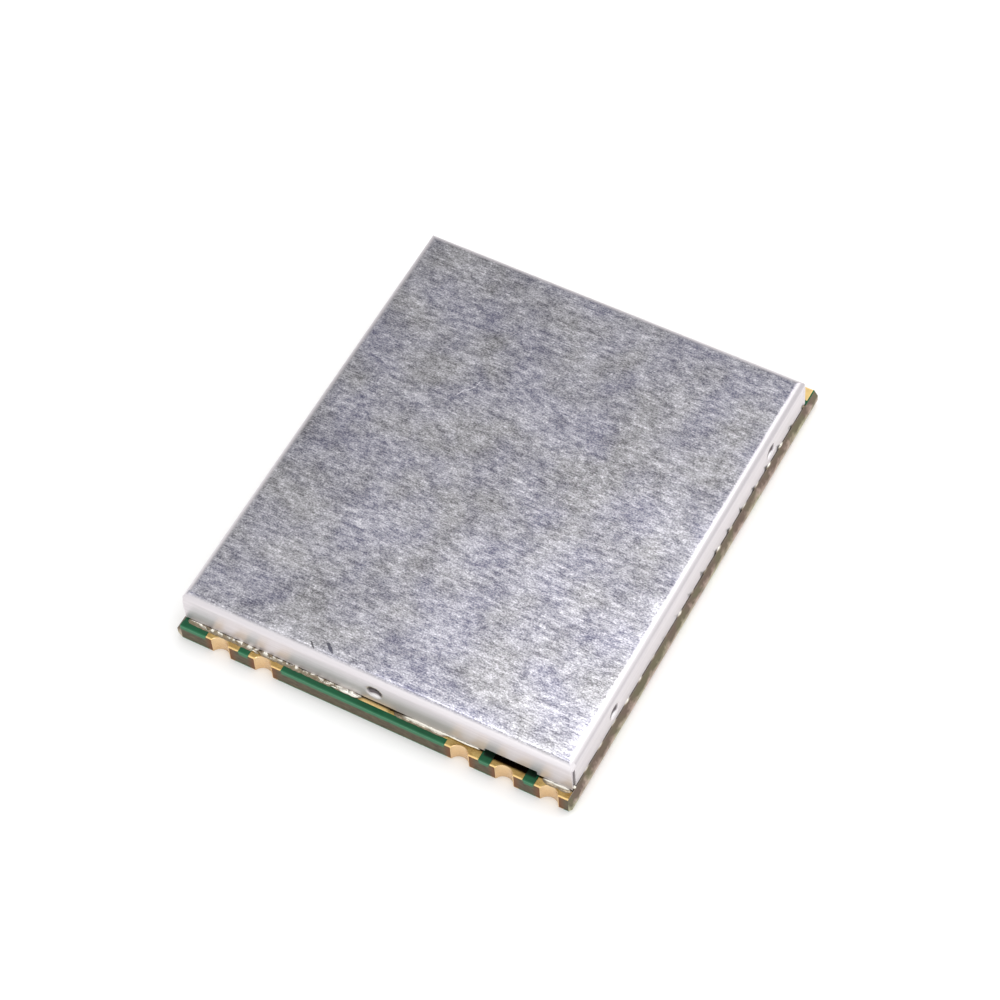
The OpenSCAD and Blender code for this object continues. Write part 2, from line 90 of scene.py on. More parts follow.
MM = 0.001
FAR = 1.0
board_low, board_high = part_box("board_core")
antenna_low, antenna_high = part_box("antenna_pad")
antenna_land_x = (antenna_low.x + antenna_high.x) / 2
PITCH = 2.54 * MM
LAND_SHIFT = 0.11 * MM
LAST_HOLE = antenna_land_x - LAND_SHIFT + PITCH
FRONT_HOLES = (-8.90 * MM, -6.36 * MM, LAST_HOLE - 2 * PITCH, LAST_HOLE - PITCH, LAST_HOLE)
HOLE_R = 0.55 * MM
LAND_HALF = 0.965 * MM
PLY = 0.17 * MM
YARN = 0.45 * MM
COPPER_GLOW = 0.8
INK_FRAY = 0.125 * MM
INK_DEPTH = (0.225 * MM, 0.1 * MM)
MASK_FADE = 0.077 * MM
SCORE_INSET = 0.22 * MM
TEAR = 0.55 * MM
TEAR_SWING = 1.4 * MM
TEAR_LEVEL = (1.03 * MM, 1.55 * MM)
TINT = 1.1 * MM
TINT_SHARE = 0.45

laminate, tree, place = new_finish("glass_fibre_laminate")
at = add(tree, "ShaderNodeSeparateXYZ", {"Vector": place})
along_plies = add(tree, "ShaderNodeMapping", {
    "Vector": place, "Scale": (1 / YARN, 1 / YARN, 1 / PLY),
})["Vector"]
yarns = add(tree, "ShaderNodeTexNoise", {
    "Vector": along_plies, "Scale": 1, "Detail": 4, "Roughness": 0.65,
})["Fac"]
yarn_ends = add(tree, "ShaderNodeMapRange", {"Value": yarns, "From Min": 0.3, "From Max": 0.72})["Result"]
plies = add(tree, "ShaderNodeMix", {
    "Factor": yarn_ends, "A": linear("#453B2C"), "B": linear("#6A5F47"),
}, data_type="RGBA")["Result"]


def along_edge(tree, at, shift):
    """How far the nearest half-hole is along its edge, with all of them shifted sideways."""
    front_away = FAR
    for hole in FRONT_HOLES:
        aside = add(tree, "ShaderNodeMath", {0: at["X"], 1: hole + shift}, operation="SUBTRACT")["Value"]
        aside = add(tree, "ShaderNodeMath", {0: aside}, operation="ABSOLUTE")["Value"]
        front_away = add(tree, "ShaderNodeMath", {0: aside, 1: front_away}, operation="MINIMUM")["Value"]
    aside = add(tree, "ShaderNodeMath", {0: at["X"], 1: shift}, operation="SUBTRACT")["Value"]
    rear_away = add(tree, "ShaderNodeMath", {0: aside, 1: PITCH / 2}, operation="PINGPONG")["Value"]
    behind = add(tree, "ShaderNodeMath", {0: at["Y"], 1: 0.0}, operation="GREATER_THAN")["Value"]
    return add(tree, "ShaderNodeMix", {"Factor": behind, "A": front_away, "B": rear_away})["Result"]


copper_glow = add(tree, "ShaderNodeMapRange", {
    "Value": along_edge(tree, at, 0.0), "From Min": HOLE_R, "From Max": LAND_HALF,
    "To Min": COPPER_GLOW, "To Max": 0.0,
})["Result"]
browned = add(tree, "ShaderNodeMix", {
    "Factor": copper_glow, "A": plies, "B": linear("#7C451A"),
}, data_type="RGBA")["Result"]
ragged = add(tree, "ShaderNodeMath", {0: yarns, 1: INK_FRAY, 2: at["Z"]}, operation="MULTIPLY_ADD")["Value"]
rim = add(tree, "ShaderNodeMapRange", {
    "Value": ragged, "From Min": board_high.z - INK_DEPTH[0], "From Max": board_high.z - INK_DEPTH[1],
})["Result"]
masked = add(tree, "ShaderNodeMapRange", {
    "Value": along_edge(tree, at, LAND_SHIFT), "From Min": LAND_HALF, "From Max": LAND_HALF + MASK_FADE,
})["Result"]
ink = add(tree, "ShaderNodeMath", {0: rim, 1: masked}, operation="MULTIPLY")["Value"]
inked = add(tree, "ShaderNodeMix", {
    "Factor": ink, "A": browned, "B": linear("#357A56"),
}, data_type="RGBA")["Result"]
side = add(tree, "ShaderNodeMath", {0: at["X"]}, operation="ABSOLUTE")["Value"]
web_from = board_high.x - SCORE_INSET
snapped = add(tree, "ShaderNodeMath", {0: side, 1: web_from}, operation="GREATER_THAN")["Value"]
tears = add(tree, "ShaderNodeTexNoise", {
    "Vector": place, "Scale": 1 / TEAR, "Detail": 3, "Roughness": 0.6,
})["Fac"]
slope = add(tree, "ShaderNodeMath", {0: tears, 1: TEAR_SWING, 2: at["Z"]}, operation="MULTIPLY_ADD")["Value"]
slope = add(tree, "ShaderNodeMapRange", {
    "Value": slope, "From Min": TEAR_LEVEL[0], "From Max": TEAR_LEVEL[1],
})["Result"]
# Darker towards the top: partly the cut slope, partly painted shade under the shield's foot
torn = add(tree, "ShaderNodeMix", {
    "Factor": slope, "A": linear("#C0B3A0"), "B": linear("#6A5946"),
}, data_type="RGBA")["Result"]
tints = add(tree, "ShaderNodeTexNoise", {"Vector": place, "Scale": 1 / TINT, "Detail": 2})["Fac"]
tints = add(tree, "ShaderNodeMapRange", {"Value": tints, "From Min": 0.4, "From Max": 0.6})["Result"]
tinted = add(tree, "ShaderNodeMix", {
    "Factor": tints, "A": linear("#A88A84"), "B": linear("#888D68"),
}, data_type="RGBA")["Result"]
torn = add(tree, "ShaderNodeMix", {
    "Factor": TINT_SHARE, "A": torn, "B": tinted,
}, data_type="RGBA", blend_type="COLOR")["Result"]
sides = add(tree, "ShaderNodeMix", {"Factor": snapped, "A": inked, "B": torn}, data_type="RGBA")["Result"]
fibres = add(tree, "ShaderNodeBump", {"Height": yarns, "Strength": 0.5, "Distance": 0.03 * MM})["Normal"]
surface = add(tree, "ShaderNodeBsdfPrincipled", {
    "Base Color": sides, "Roughness": 0.72, "IOR": 1.55, "Normal": fibres,
})["BSDF"]
add(tree, "ShaderNodeOutputMaterial", {"Surface": surface})
dress(laminate, "board_core")


# Solder mask. A green photo-imaged epoxy ink, curtain-coated on both faces and baked. It is a satin film with
# a faint orange peel, darker where it pooled, with a painted highlight along the routed edge. On the upper
# face, under the shield and in its gate, it is darkened with painted shade.
POOL = 1.1 * MM
PEEL = 0.14 * MM
EDGE_HIGHLIGHT_W = 0.1 * MM
GATE_W = 2.97 * MM
GATE_SHADE = 0.16 * MM
SHADE_REACH = 0.08 * MM
SHADE_FADE = 0.12 * MM
cover_low, cover_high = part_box("shield_cover")
cover_y = (cover_low.y + cover_high.y) / 2


def inside_walls(tree, at):
    """How far inside the shield's outer faces a place lies, seen from above: below 0 outside them."""
    inner = FAR
    walls = ((at["X"], 0.0, cover_high.x), (at["Y"], cover_y, cover_high.y - cover_y))
    for place_along, centre, wall in walls:
        away = add(tree, "ShaderNodeMath", {0: place_along, 1: centre}, operation="SUBTRACT")["Value"]
        away = add(tree, "ShaderNodeMath", {0: away}, operation="ABSOLUTE")["Value"]
        inwards = add(tree, "ShaderNodeMath", {0: wall, 1: away}, operation="SUBTRACT")["Value"]
        inner = add(tree, "ShaderNodeMath", {0: inwards, 1: inner}, operation="MINIMUM")["Value"]
    return inner


def painted_shade_under_shield(tree, at):
    """How much painted shade darkens a place on the upper face: under the shield and just outside its gate.
    """
    beside = add(tree, "ShaderNodeMath", {0: at["X"], 1: antenna_land_x}, operation="SUBTRACT")["Value"]
    beside = add(tree, "ShaderNodeMath", {0: beside}, operation="ABSOLUTE")["Value"]
    in_gate = add(tree, "ShaderNodeMath", {0: beside, 1: GATE_W / 2}, operation="LESS_THAN")["Value"]
    inner = add(tree, "ShaderNodeMath", {
        0: in_gate, 1: GATE_SHADE, 2: inside_walls(tree, at),
    }, operation="MULTIPLY_ADD")["Value"]
    darkened = add(tree, "ShaderNodeMapRange", {
        "Value": inner, "From Min": -SHADE_REACH, "From Max": SHADE_FADE - SHADE_REACH,
    })["Result"]
    board_middle = (board_low.z + board_high.z) / 2
    upper_face = add(tree, "ShaderNodeMath", {0: at["Z"], 1: board_middle}, operation="GREATER_THAN")["Value"]
    return add(tree, "ShaderNodeMath", {0: darkened, 1: upper_face}, operation="MULTIPLY")["Value"]


mask, tree, place = new_finish("green_solder_mask")
pools = add(tree, "ShaderNodeTexNoise", {"Vector": place, "Scale": 1 / POOL, "Detail": 2})["Fac"]
ink = add(tree, "ShaderNodeMix", {
    "Factor": pools, "A": linear("#024629"), "B": linear("#08623C"),
}, data_type="RGBA")["Result"]
at = add(tree, "ShaderNodeSeparateXYZ", {"Vector": place})
edge = add(tree, "ShaderNodeMath", {0: at["Y"]}, operation="ABSOLUTE")["Value"]
# A painted highlight: the mask is painted paler along the routed edge, where its rounded rim catches light
edge_highlight = add(tree, "ShaderNodeMapRange", {
    "Value": edge, "From Min": board_high.y - EDGE_HIGHLIGHT_W, "From Max": board_high.y, "To Max": 0.55,
})["Result"]
ink = add(tree, "ShaderNodeMix", {
    "Factor": edge_highlight, "A": ink, "B": linear("#4C9A70"),
}, data_type="RGBA")["Result"]
# Painted shade: the mask is darkened under the shield and in its gate
ink = add(tree, "ShaderNodeMix", {
    "Factor": painted_shade_under_shield(tree, at), "A": ink, "B": linear("#0A2014"),
}, data_type="RGBA")["Result"]
peel = add(tree, "ShaderNodeTexNoise", {"Vector": place, "Scale": 1 / PEEL, "Detail": 2})["Fac"]
satin = add(tree, "ShaderNodeMapRange", {"Value": peel, "To Min": 0.24, "To Max": 0.42})["Result"]
orange_peel = add(tree, "ShaderNodeBump", {"Height": peel, "Strength": 0.35, "Distance": 0.02 * MM})["Normal"]
surface = add(tree, "ShaderNodeBsdfPrincipled", {
    "Base Color": ink, "Roughness": satin, "IOR": 1.42, "Normal": orange_peel,
})["BSDF"]
add(tree, "ShaderNodeOutputMaterial", {"Surface": surface})
dress(mask, "top_mask", "bottom_mask")


# Lands and half-holes. Etched copper with nickel and a flash of immersion gold: a warm, finely grained metal,
# brightest in the half-holes, with a painted highlight at the routed edge, paler in the wall's window and
# behind the shield, and darkened with painted shade under the shield.
# Torn laminate smears it along the long sides, and the mask runs over it at the left front corner.
STAIN = 0.7 * MM
# The real grain is too fine to show, so it is drawn coarser
GRAIN = 0.06 * MM
ETCH_R = 0.03 * MM
HOLE_OUT = 0.23 * MM
RIM = 0.1 * MM
RIM_DULL = 0.3
BARREL_EDGE = (0.05 * MM, 0.02 * MM)
WINDOW = 0.85 * MM
WINDOW_FADE = 0.21 * MM
CLEAR_FADE = 0.1 * MM
MASKED_CORNER = (-10.97 * MM, -13.3 * MM)

gold, tree, place = new_finish("immersion_gold")
stains = add(tree, "ShaderNodeTexNoise", {"Vector": place, "Scale": 1 / STAIN, "Detail": 3})["Fac"]
tarnish = add(tree, "ShaderNodeMapRange", {"Value": stains, "From Min": 0.3, "From Max": 0.62})["Result"]
plating = add(tree, "ShaderNodeMix", {
    "Factor": tarnish, "A": linear("#AE8B4F"), "B": linear("#D9BC79"),
}, data_type="RGBA")["Result"]
at = add(tree, "ShaderNodeSeparateXYZ", {"Vector": place})
edge = add(tree, "ShaderNodeMath", {0: at["Y"]}, operation="ABSOLUTE")["Value"]
outwards = add(tree, "ShaderNodeMath", {0: edge, 1: board_high.y + HOLE_OUT}, operation="SUBTRACT")["Value"]
from_axis = add(tree, "ShaderNodeCombineXYZ", {"X": along_edge(tree, at, 0.0), "Y": outwards})["Vector"]
from_axis = add(tree, "ShaderNodeVectorMath", {0: from_axis}, operation="LENGTH")["Value"]
barrel = add(tree, "ShaderNodeMapRange", {
    "Value": from_axis, "From Min": HOLE_R + BARREL_EDGE[0], "From Max": HOLE_R + BARREL_EDGE[1],
})["Result"]
plating = add(tree, "ShaderNodeMix", {
    "Factor": barrel, "A": plating, "B": linear("#E9C99C"),
}, data_type="RGBA")["Result"]
# A painted highlight: the lands' tops are painted pale gold along the routed edge
rim_highlight = add(tree, "ShaderNodeMapRange", {
    "Value": edge, "From Min": board_high.y - RIM, "From Max": board_high.y - RIM / 2,
})["Result"]
on_top = add(tree, "ShaderNodeMath", {0: at["Z"], 1: board_high.z}, operation="GREATER_THAN")["Value"]
rim_highlight = add(tree, "ShaderNodeMath", {0: rim_highlight, 1: on_top}, operation="MULTIPLY")["Value"]
aside = add(tree, "ShaderNodeMath", {0: at["X"]}, operation="ABSOLUTE")["Value"]
in_window = add(tree, "ShaderNodeMapRange", {
    "Value": aside, "From Min": WINDOW, "From Max": WINDOW - WINDOW_FADE,
})["Result"]
behind = add(tree, "ShaderNodeMapRange", {
    "Value": at["Y"], "From Min": cover_high.y, "From Max": cover_high.y + CLEAR_FADE, "To Max": 0.5,
})["Result"]
clear = add(tree, "ShaderNodeMath", {0: in_window, 1: behind}, operation="MAXIMUM")["Value"]
clear = add(tree, "ShaderNodeMath", {0: clear, 1: on_top}, operation="MULTIPLY")["Value"]
bright_strip = add(tree, "ShaderNodeMath", {0: rim_highlight, 1: clear}, operation="MAXIMUM")["Value"]
plating = add(tree, "ShaderNodeMix", {
    "Factor": bright_strip, "A": plating, "B": linear("#FFDF9F"),
}, data_type="RGBA")["Result"]
# Painted shade: the gold is darkened under the shield and in its gate
plating = add(tree, "ShaderNodeMix", {
    "Factor": painted_shade_under_shield(tree, at), "A": plating, "B": linear("#2E1C0E"),
}, data_type="RGBA")["Result"]
masked = 1.0
for axis, limit in zip("XY", MASKED_CORNER):
    beyond = add(tree, "ShaderNodeMath", {0: at[axis], 1: limit}, operation="LESS_THAN")["Value"]
    masked = add(tree, "ShaderNodeMath", {0: beyond, 1: masked}, operation="MULTIPLY")["Value"]
plating = add(tree, "ShaderNodeMix", {
    "Factor": masked, "A": plating, "B": linear("#055434"),
}, data_type="RGBA")["Result"]
scored = add(tree, "ShaderNodeMath", {0: aside, 1: cover_high.x}, operation="GREATER_THAN")["Value"]
plating = add(tree, "ShaderNodeMix", {
    "Factor": scored, "A": plating, "B": linear("#85786C"),
}, data_type="RGBA")["Result"]
covered = add(tree, "ShaderNodeMath", {0: masked, 1: scored}, operation="MAXIMUM")["Value"]
bare = add(tree, "ShaderNodeMath", {0: 1.0, 1: covered}, operation="SUBTRACT")["Value"]
grains = add(tree, "ShaderNodeTexNoise", {"Vector": place, "Scale": 1 / GRAIN, "Detail": 2})["Fac"]
dull = add(tree, "ShaderNodeMapRange", {"Value": grains, "To Min": 0.16, "To Max": 0.34})["Result"]
dull = add(tree, "ShaderNodeMath", {0: bright_strip, 1: RIM_DULL, 2: dull}, operation="MULTIPLY_ADD")["Value"]
grained = add(tree, "ShaderNodeBump", {"Height": grains, "Strength": 0.4, "Distance": 0.01 * MM})["Normal"]
surface = add(tree, "ShaderNodeBsdfPrincipled", {
    "Base Color": plating, "Metallic": bare, "Roughness": dull, "Normal": grained,
})["BSDF"]
add(tree, "ShaderNodeOutputMaterial", {"Surface": surface})
rear_pads = [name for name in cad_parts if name.startswith("rear_pad_")]
dress(gold, "ground_land", "antenna_pad", "if_filter_lid", *rear_pads)

# Etching and plating leave the copper's edges round
for name in ("ground_land", "antenna_pad", *rear_pads):
    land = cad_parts[name]
    joined = land.modifiers.new("joined_faces", "WELD")
    joined.merge_threshold = 0.001 * MM
    rounded = land.modifiers.new("etched_edges", "BEVEL")
    rounded.width = ETCH_R
    rounded.segments = 2
    rounded.angle_limit = math.radians(40)


# Chips. The larger ones are silicon moulded into filled black epoxy: a dull, slightly grainy black with paler
# filler grains. They are placed by machine and soldered by their leads.
# The real grains are too fine to show, so they are drawn coarser
FILLER = 0.09 * MM

moulding, tree, place = new_finish("black_moulding_compound")
filler = add(tree, "ShaderNodeTexNoise", {"Vector": place, "Scale": 1 / FILLER, "Detail": 3})["Fac"]
black = add(tree, "ShaderNodeMix", {
    "Factor": filler, "A": linear("#161617"), "B": linear("#37373A"),
}, data_type="RGBA")["Result"]
matt = add(tree, "ShaderNodeMapRange", {"Value": filler, "To Min": 0.5, "To Max": 0.75})["Result"]
pitted = add(tree, "ShaderNodeBump", {"Height": filler, "Strength": 0.4, "Distance": 0.015 * MM})["Normal"]
surface = add(tree, "ShaderNodeBsdfPrincipled", {
    "Base Color": black, "Roughness": matt, "IOR": 1.55, "Normal": pitted,
})["BSDF"]
add(tree, "ShaderNodeOutputMaterial", {"Surface": surface})
dress(moulding, "receiver_chip", "low_noise_amp_body", "video_amp_body", "regulator_body")


# Leads and end caps. Stamped copper strip and fired silver, plated with matt tin: a pale grey metal with a
# fine frost. The leads reach out of the chips, and the caps close the ends of the chip parts.
# The real frost is too fine to show, so it is drawn coarser
FROST = 0.05 * MM

matt_tin, tree, place = new_finish("matt_tin_plating")
frost = add(tree, "ShaderNodeTexNoise", {"Vector": place, "Scale": 1 / FROST, "Detail": 3})["Fac"]
grey = add(tree, "ShaderNodeMix", {
    "Factor": frost, "A": linear("#A9A9AD"), "B": linear("#D6D6D8"),
}, data_type="RGBA")["Result"]
frosted = add(tree, "ShaderNodeMapRange", {"Value": frost, "To Min": 0.32, "To Max": 0.5})["Result"]
frost_bump = add(tree, "ShaderNodeBump", {"Height": frost, "Strength": 0.3, "Distance": 0.008 * MM})["Normal"]
surface = add(tree, "ShaderNodeBsdfPrincipled", {
    "Base Color": grey, "Metallic": 1.0, "Roughness": frosted, "Normal": frost_bump,
})["BSDF"]
add(tree, "ShaderNodeOutputMaterial", {"Surface": surface})
dress(
    matt_tin, "receiver_leads", "crystal_lid", "low_noise_amp_leads", "video_amp_leads", "regulator_leads",
    "chip_terminals",
)


# Ceramic parts. Pressed or tape-cast powders, fired hard: a pale tub for the filter, and dark or tan blocks
# for the crystal, the band filter and the chip parts. Fired ceramic has a dry sheen and a fine speckle.
# The real speckle is too fine to show, so it is drawn coarser
SPECKLE = 0.12 * MM
CERAMICS = (
    ("pale_fired_ceramic", "#CFC7B4", "#E4DECF", ("if_filter_base",)),
    ("dark_fired_ceramic", "#2B2622", "#4C443D", (
        "crystal_base", "band_filter", "chip_resistors", "chip_inductors",
    )),
    ("tan_fired_ceramic", "#8A6540", "#B48C60", ("chip_capacitors",)),
)
for name, deep, pale, nodes in CERAMICS:
    ceramic, tree, place = new_finish(name)
    speckle = add(tree, "ShaderNodeTexNoise", {"Vector": place, "Scale": 1 / SPECKLE, "Detail": 3})["Fac"]
    body = add(tree, "ShaderNodeMix", {
        "Factor": speckle, "A": linear(deep), "B": linear(pale),
    }, data_type="RGBA")["Result"]
    dry = add(tree, "ShaderNodeMapRange", {"Value": speckle, "To Min": 0.4, "To Max": 0.6})["Result"]
    fired = add(tree, "ShaderNodeBump", {
        "Height": speckle, "Strength": 0.25, "Distance": 0.01 * MM,
    })["Normal"]
    surface = add(tree, "ShaderNodeBsdfPrincipled", {
        "Base Color": body, "Roughness": dry, "IOR": 1.7, "Normal": fired,
    })["BSDF"]
    add(tree, "ShaderNodeOutputMaterial", {"Surface": surface})
    dress(ceramic, *nodes)


# Shield solder. Paste printed on the ring and melted round the frame's feet. It set as a bright, lumpy bead
# along the front and rear, thinner to the right and with dull patches to the left, and as one lump at each
# foot of the two long sides. Its low places are painted brown, partly flux and partly painted shade.
def plain_mesh(obj):
    """Turns what an object's modifiers give into its own mesh, and takes the modifiers off."""
    shown = obj.evaluated_get(bpy.context.evaluated_depsgraph_get())
    made = bpy.data.meshes.new_from_object(shown)
    obj.modifiers.clear()
    obj.data = made


def sharpen(mesh, degrees):
    """Shades a mesh smooth, but for edges that turn by more than an angle."""
    form = bmesh.new()
    form.from_mesh(mesh)
    for face in form.faces:
        face.smooth = True
    for edge in form.edges:
        edge.smooth = edge.calc_face_angle(math.pi) < math.radians(degrees)
    form.to_mesh(mesh)
    form.free()


def new_piece(name, mesh):
    """A new object at the origin, which moves with the part."""
    obj = bpy.data.objects.new(name, mesh)
    bpy.context.scene.collection.objects.link(obj)
    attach(obj, "root")
    return obj


solder_low, solder_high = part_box("shield_solder")
seat = solder_low.z
BROWN_LINE = (seat + 0.05 * MM, seat + 0.09 * MM)
DROSS = 0.22 * MM
DULL_PATCH = 0.3 * MM
DULL_TO = -2.1 * MM

solder, tree, place = new_finish("bright_solder")
dross = add(tree, "ShaderNodeTexNoise", {"Vector": place, "Scale": 1 / DROSS, "Detail": 3})["Fac"]
# Low solder is painted brown: partly flux, partly painted shade
flux_and_shade = add(tree, "ShaderNodeMix", {
    "Factor": dross, "A": linear("#5E4C34"), "B": linear("#B4A894"),
}, data_type="RGBA")["Result"]
at = add(tree, "ShaderNodeSeparateXYZ", {"Vector": place})
above_brown = add(tree, "ShaderNodeMapRange", {
    "Value": at["Z"], "From Min": BROWN_LINE[0], "From Max": BROWN_LINE[1],
})["Result"]
dulled = add(tree, "ShaderNodeTexNoise", {"Vector": place, "Scale": 1 / DULL_PATCH, "Detail": 2})["Fac"]
to_left = add(tree, "ShaderNodeMath", {0: at["X"], 1: DULL_TO}, operation="LESS_THAN")["Value"]
dulled = add(tree, "ShaderNodeMath", {0: dulled, 1: to_left}, operation="MULTIPLY")["Value"]
clean = add(tree, "ShaderNodeMapRange", {"Value": dulled, "From Min": 0.53, "From Max": 0.45})["Result"]
clean = add(tree, "ShaderNodeMath", {0: clean, 1: above_brown}, operation="MULTIPLY")["Value"]
silver = add(tree, "ShaderNodeMix", {
    "Factor": clean, "A": flux_and_shade, "B": linear("#F7F3E8"),
}, data_type="RGBA")["Result"]
bright = add(tree, "ShaderNodeMapRange", {"Value": dross, "To Min": 0.34, "To Max": 0.14})["Result"]
ripples = add(tree, "ShaderNodeBump", {"Height": dross, "Strength": 0.5, "Distance": 0.03 * MM})["Normal"]
surface = add(tree, "ShaderNodeBsdfPrincipled", {
    "Base Color": silver, "Metallic": 1.0, "Roughness": bright, "Normal": ripples,
})["BSDF"]
add(tree, "ShaderNodeOutputMaterial", {"Surface": surface})

LARGEST = (1.3, 1.1, 1.2)
bead_tree = bpy.data.node_groups.new("beads_along_a_run", "GeometryNodeTree")
socket_ids = {}
for name, kind in (
    ("Geometry", "NodeSocketGeometry"), ("Start", "NodeSocketVector"), ("End", "NodeSocketVector"),
    ("Count", "NodeSocketInt"), ("Bead", "NodeSocketVector"), ("Least", "NodeSocketVector"),
    ("Scatter", "NodeSocketVector"), ("Seed", "NodeSocketInt"), ("Solder", "NodeSocketMaterial"),
):
    socket_ids[name] = bead_tree.interface.new_socket(name, in_out="INPUT", socket_type=kind).identifier
bead_tree.interface.new_socket("Geometry", in_out="OUTPUT", socket_type="NodeSocketGeometry")
given = add(bead_tree, "NodeGroupInput", {})
run_line = add(bead_tree, "GeometryNodeMeshLine", {
    "Count": given["Count"], "Start Location": given["Start"], "Offset": given["End"],
}, mode="END_POINTS")["Mesh"]
astray = add(bead_tree, "FunctionNodeRandomValue", {
    "Min": (-1, -1, -1), "Max": (1, 1, 1), "Seed": given["Seed"],
}, data_type="FLOAT_VECTOR")["Value"]
astray = add(bead_tree, "ShaderNodeVectorMath", {
    0: astray, 1: given["Scatter"],
}, operation="MULTIPLY")["Vector"]
places = add(bead_tree, "GeometryNodeSetPosition", {"Geometry": run_line, "Offset": astray})["Geometry"]
ball = add(bead_tree, "GeometryNodeMeshIcoSphere", {"Radius": 1.0, "Subdivisions": 3})["Mesh"]
uneven = add(bead_tree, "FunctionNodeRandomValue", {
    "Min": given["Least"], "Max": LARGEST, "Seed": given["Seed"],
}, data_type="FLOAT_VECTOR")["Value"]
bead_size = add(bead_tree, "ShaderNodeVectorMath", {
    0: uneven, 1: given["Bead"],
}, operation="MULTIPLY")["Vector"]
beads = add(bead_tree, "GeometryNodeInstanceOnPoints", {
    "Points": places, "Instance": ball, "Scale": bead_size,
})["Instances"]
with_others = add(bead_tree, "GeometryNodeJoinGeometry", {"Geometry": given["Geometry"]})["Geometry"]
bead_tree.links.new(beads, with_others.node.inputs["Geometry"])
real = add(bead_tree, "GeometryNodeRealizeInstances", {"Geometry": with_others})["Geometry"]
dressed = add(bead_tree, "GeometryNodeSetMaterial", {
    "Geometry": real, "Material": given["Solder"],
})["Geometry"]
add(bead_tree, "NodeGroupOutput", {"Geometry": dressed})

FILM_LINE = cover_low.y - 0.04 * MM
LUMP_LINE = cover_low.y - 0.1 * MM
FILLET_LINE = cover_low.y - 0.03 * MM
SLIT_FOOT = cover_low.y + 0.24 * MM
REAR_LINE = cover_high.y - 0.1 * MM
SIDE_LINE = cover_high.x - 0.06 * MM
FEET = 17
FOOT_PITCH = 1.47 * MM
FOOT_SPAN = (FEET - 1) * FOOT_PITCH
RING_OPEN_W = 3.15 * MM
VOXEL = 0.03 * MM
CORNER_GAP = 0.55 * MM
RUN_GAP = 0.3 * MM
MOUTH_GAP = 0.6 * MM
left_run = (solder_low.x + CORNER_GAP, -WINDOW - RUN_GAP)
blob_run = (-1.75 * MM, -1.15 * MM)
middle_run = (WINDOW + MOUTH_GAP, antenna_land_x - RING_OPEN_W / 2 - MOUTH_GAP)
film_end = FRONT_HOLES[2] - LAND_HALF - RUN_GAP
fillet_from = WINDOW + 2 * MOUTH_GAP
right_run = (antenna_land_x + RING_OPEN_W / 2 + MOUTH_GAP, solder_high.x - CORNER_GAP)
slit_run = (cover_high.x - 0.08 * MM, cover_high.x - 0.06 * MM)
rear_run = (solder_low.x + RUN_GAP, solder_high.x - RUN_GAP)
bed = Vector((0.34, 0.24, 0.11)) * MM
lump = Vector((0.16, 0.1, 0.14)) * MM
blob = Vector((0.4, 0.17, 0.14)) * MM
film = Vector((0.4, 0.23, 0.065)) * MM
fillet = Vector((0.36, 0.06, 0.125)) * MM
corner_blob = Vector((0.1, 0.12, 0.16)) * MM
foot_lump = Vector((0.1, 0.32, 0.13)) * MM
lumpy = Vector((0.3, 0.4, 0.3))
firm = Vector((0.6, 0.8, 0.8))
even = Vector((0.9, 0.9, 0.9))
settled = Vector((0.15, 0.02, 0.005)) * MM
strayed = Vector((0.35, 0.09, 0.04)) * MM
side_jitter = Vector((0.012, 0.08, 0.01)) * MM
# Each run's start, end, number of beads, half sizes of a bead, least share of them, and scatter
runs = [
    ((left_run[0], FILM_LINE), (left_run[1], FILM_LINE), 40, film, firm, settled),
    ((left_run[0], FILLET_LINE), (left_run[1], FILLET_LINE), 50, fillet, firm, settled),
    ((left_run[0], LUMP_LINE), (left_run[1], LUMP_LINE), 26, lump, lumpy, strayed),
    ((blob_run[0], LUMP_LINE), (blob_run[1], LUMP_LINE), 2, blob, even, settled),
    ((middle_run[0], FILM_LINE), (film_end, FILM_LINE), 16, film, firm, settled),
    ((fillet_from, FILLET_LINE), (middle_run[1], FILLET_LINE), 60, fillet, even, settled),
    ((right_run[0], FILM_LINE), (right_run[1], FILM_LINE), 4, film, firm, settled),
    ((right_run[0], FILLET_LINE), (right_run[1], FILLET_LINE), 6, fillet, even, settled),
    ((slit_run[0], SLIT_FOOT), (slit_run[1], SLIT_FOOT), 2, corner_blob, even, Vector()),
    ((rear_run[0], REAR_LINE), (rear_run[1], REAR_LINE), 52, bed, firm, settled),
]
for side_x in (-SIDE_LINE, SIDE_LINE):
    first = (side_x, cover_y - FOOT_SPAN / 2)
    last = (side_x, cover_y + FOOT_SPAN / 2)
    runs.append((first, last, FEET, foot_lump, firm, side_jitter))

solder_run = new_piece("reflowed_solder", bpy.data.meshes.new("reflowed_solder"))
for seed, (start, end, count, size, least, scatter) in enumerate(runs):
    run = solder_run.modifiers.new(f"run_{seed}", "NODES")
    run.node_group = bead_tree
    run[socket_ids["Start"]] = (*start, seat)
    run[socket_ids["End"]] = (*end, seat)
    run[socket_ids["Count"]] = count
    run[socket_ids["Bead"]] = size
    run[socket_ids["Least"]] = least
    run[socket_ids["Scatter"]] = scatter
    run[socket_ids["Seed"]] = seed
    run[socket_ids["Solder"]] = solder
melt = solder_run.modifiers.new("melt", "REMESH")
melt.mode = "VOXEL"
melt.voxel_size = VOXEL
flow = solder_run.modifiers.new("flow", "SMOOTH")
flow.factor = 0.5
flow.iterations = 3
plain_mesh(solder_run)
form = bmesh.new()
form.from_mesh(solder_run.data)
whole = [*form.verts, *form.edges, *form.faces]
cut = bmesh.ops.bisect_plane(
    form, geom=whole, plane_co=(0, 0, seat), plane_no=(0, 0, 1), clear_inner=True,
)
rims = [g for g in cut["geom_cut"] if isinstance(g, bmesh.types.BMEdge)]
bmesh.ops.edgeloop_fill(form, edges=rims)
form.to_mesh(solder_run.data)
form.free()
sharpen(solder_run.data, degrees=60)
solder_run.data.materials.clear()
solder_run.data.materials.append(solder)
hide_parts("shield_solder")


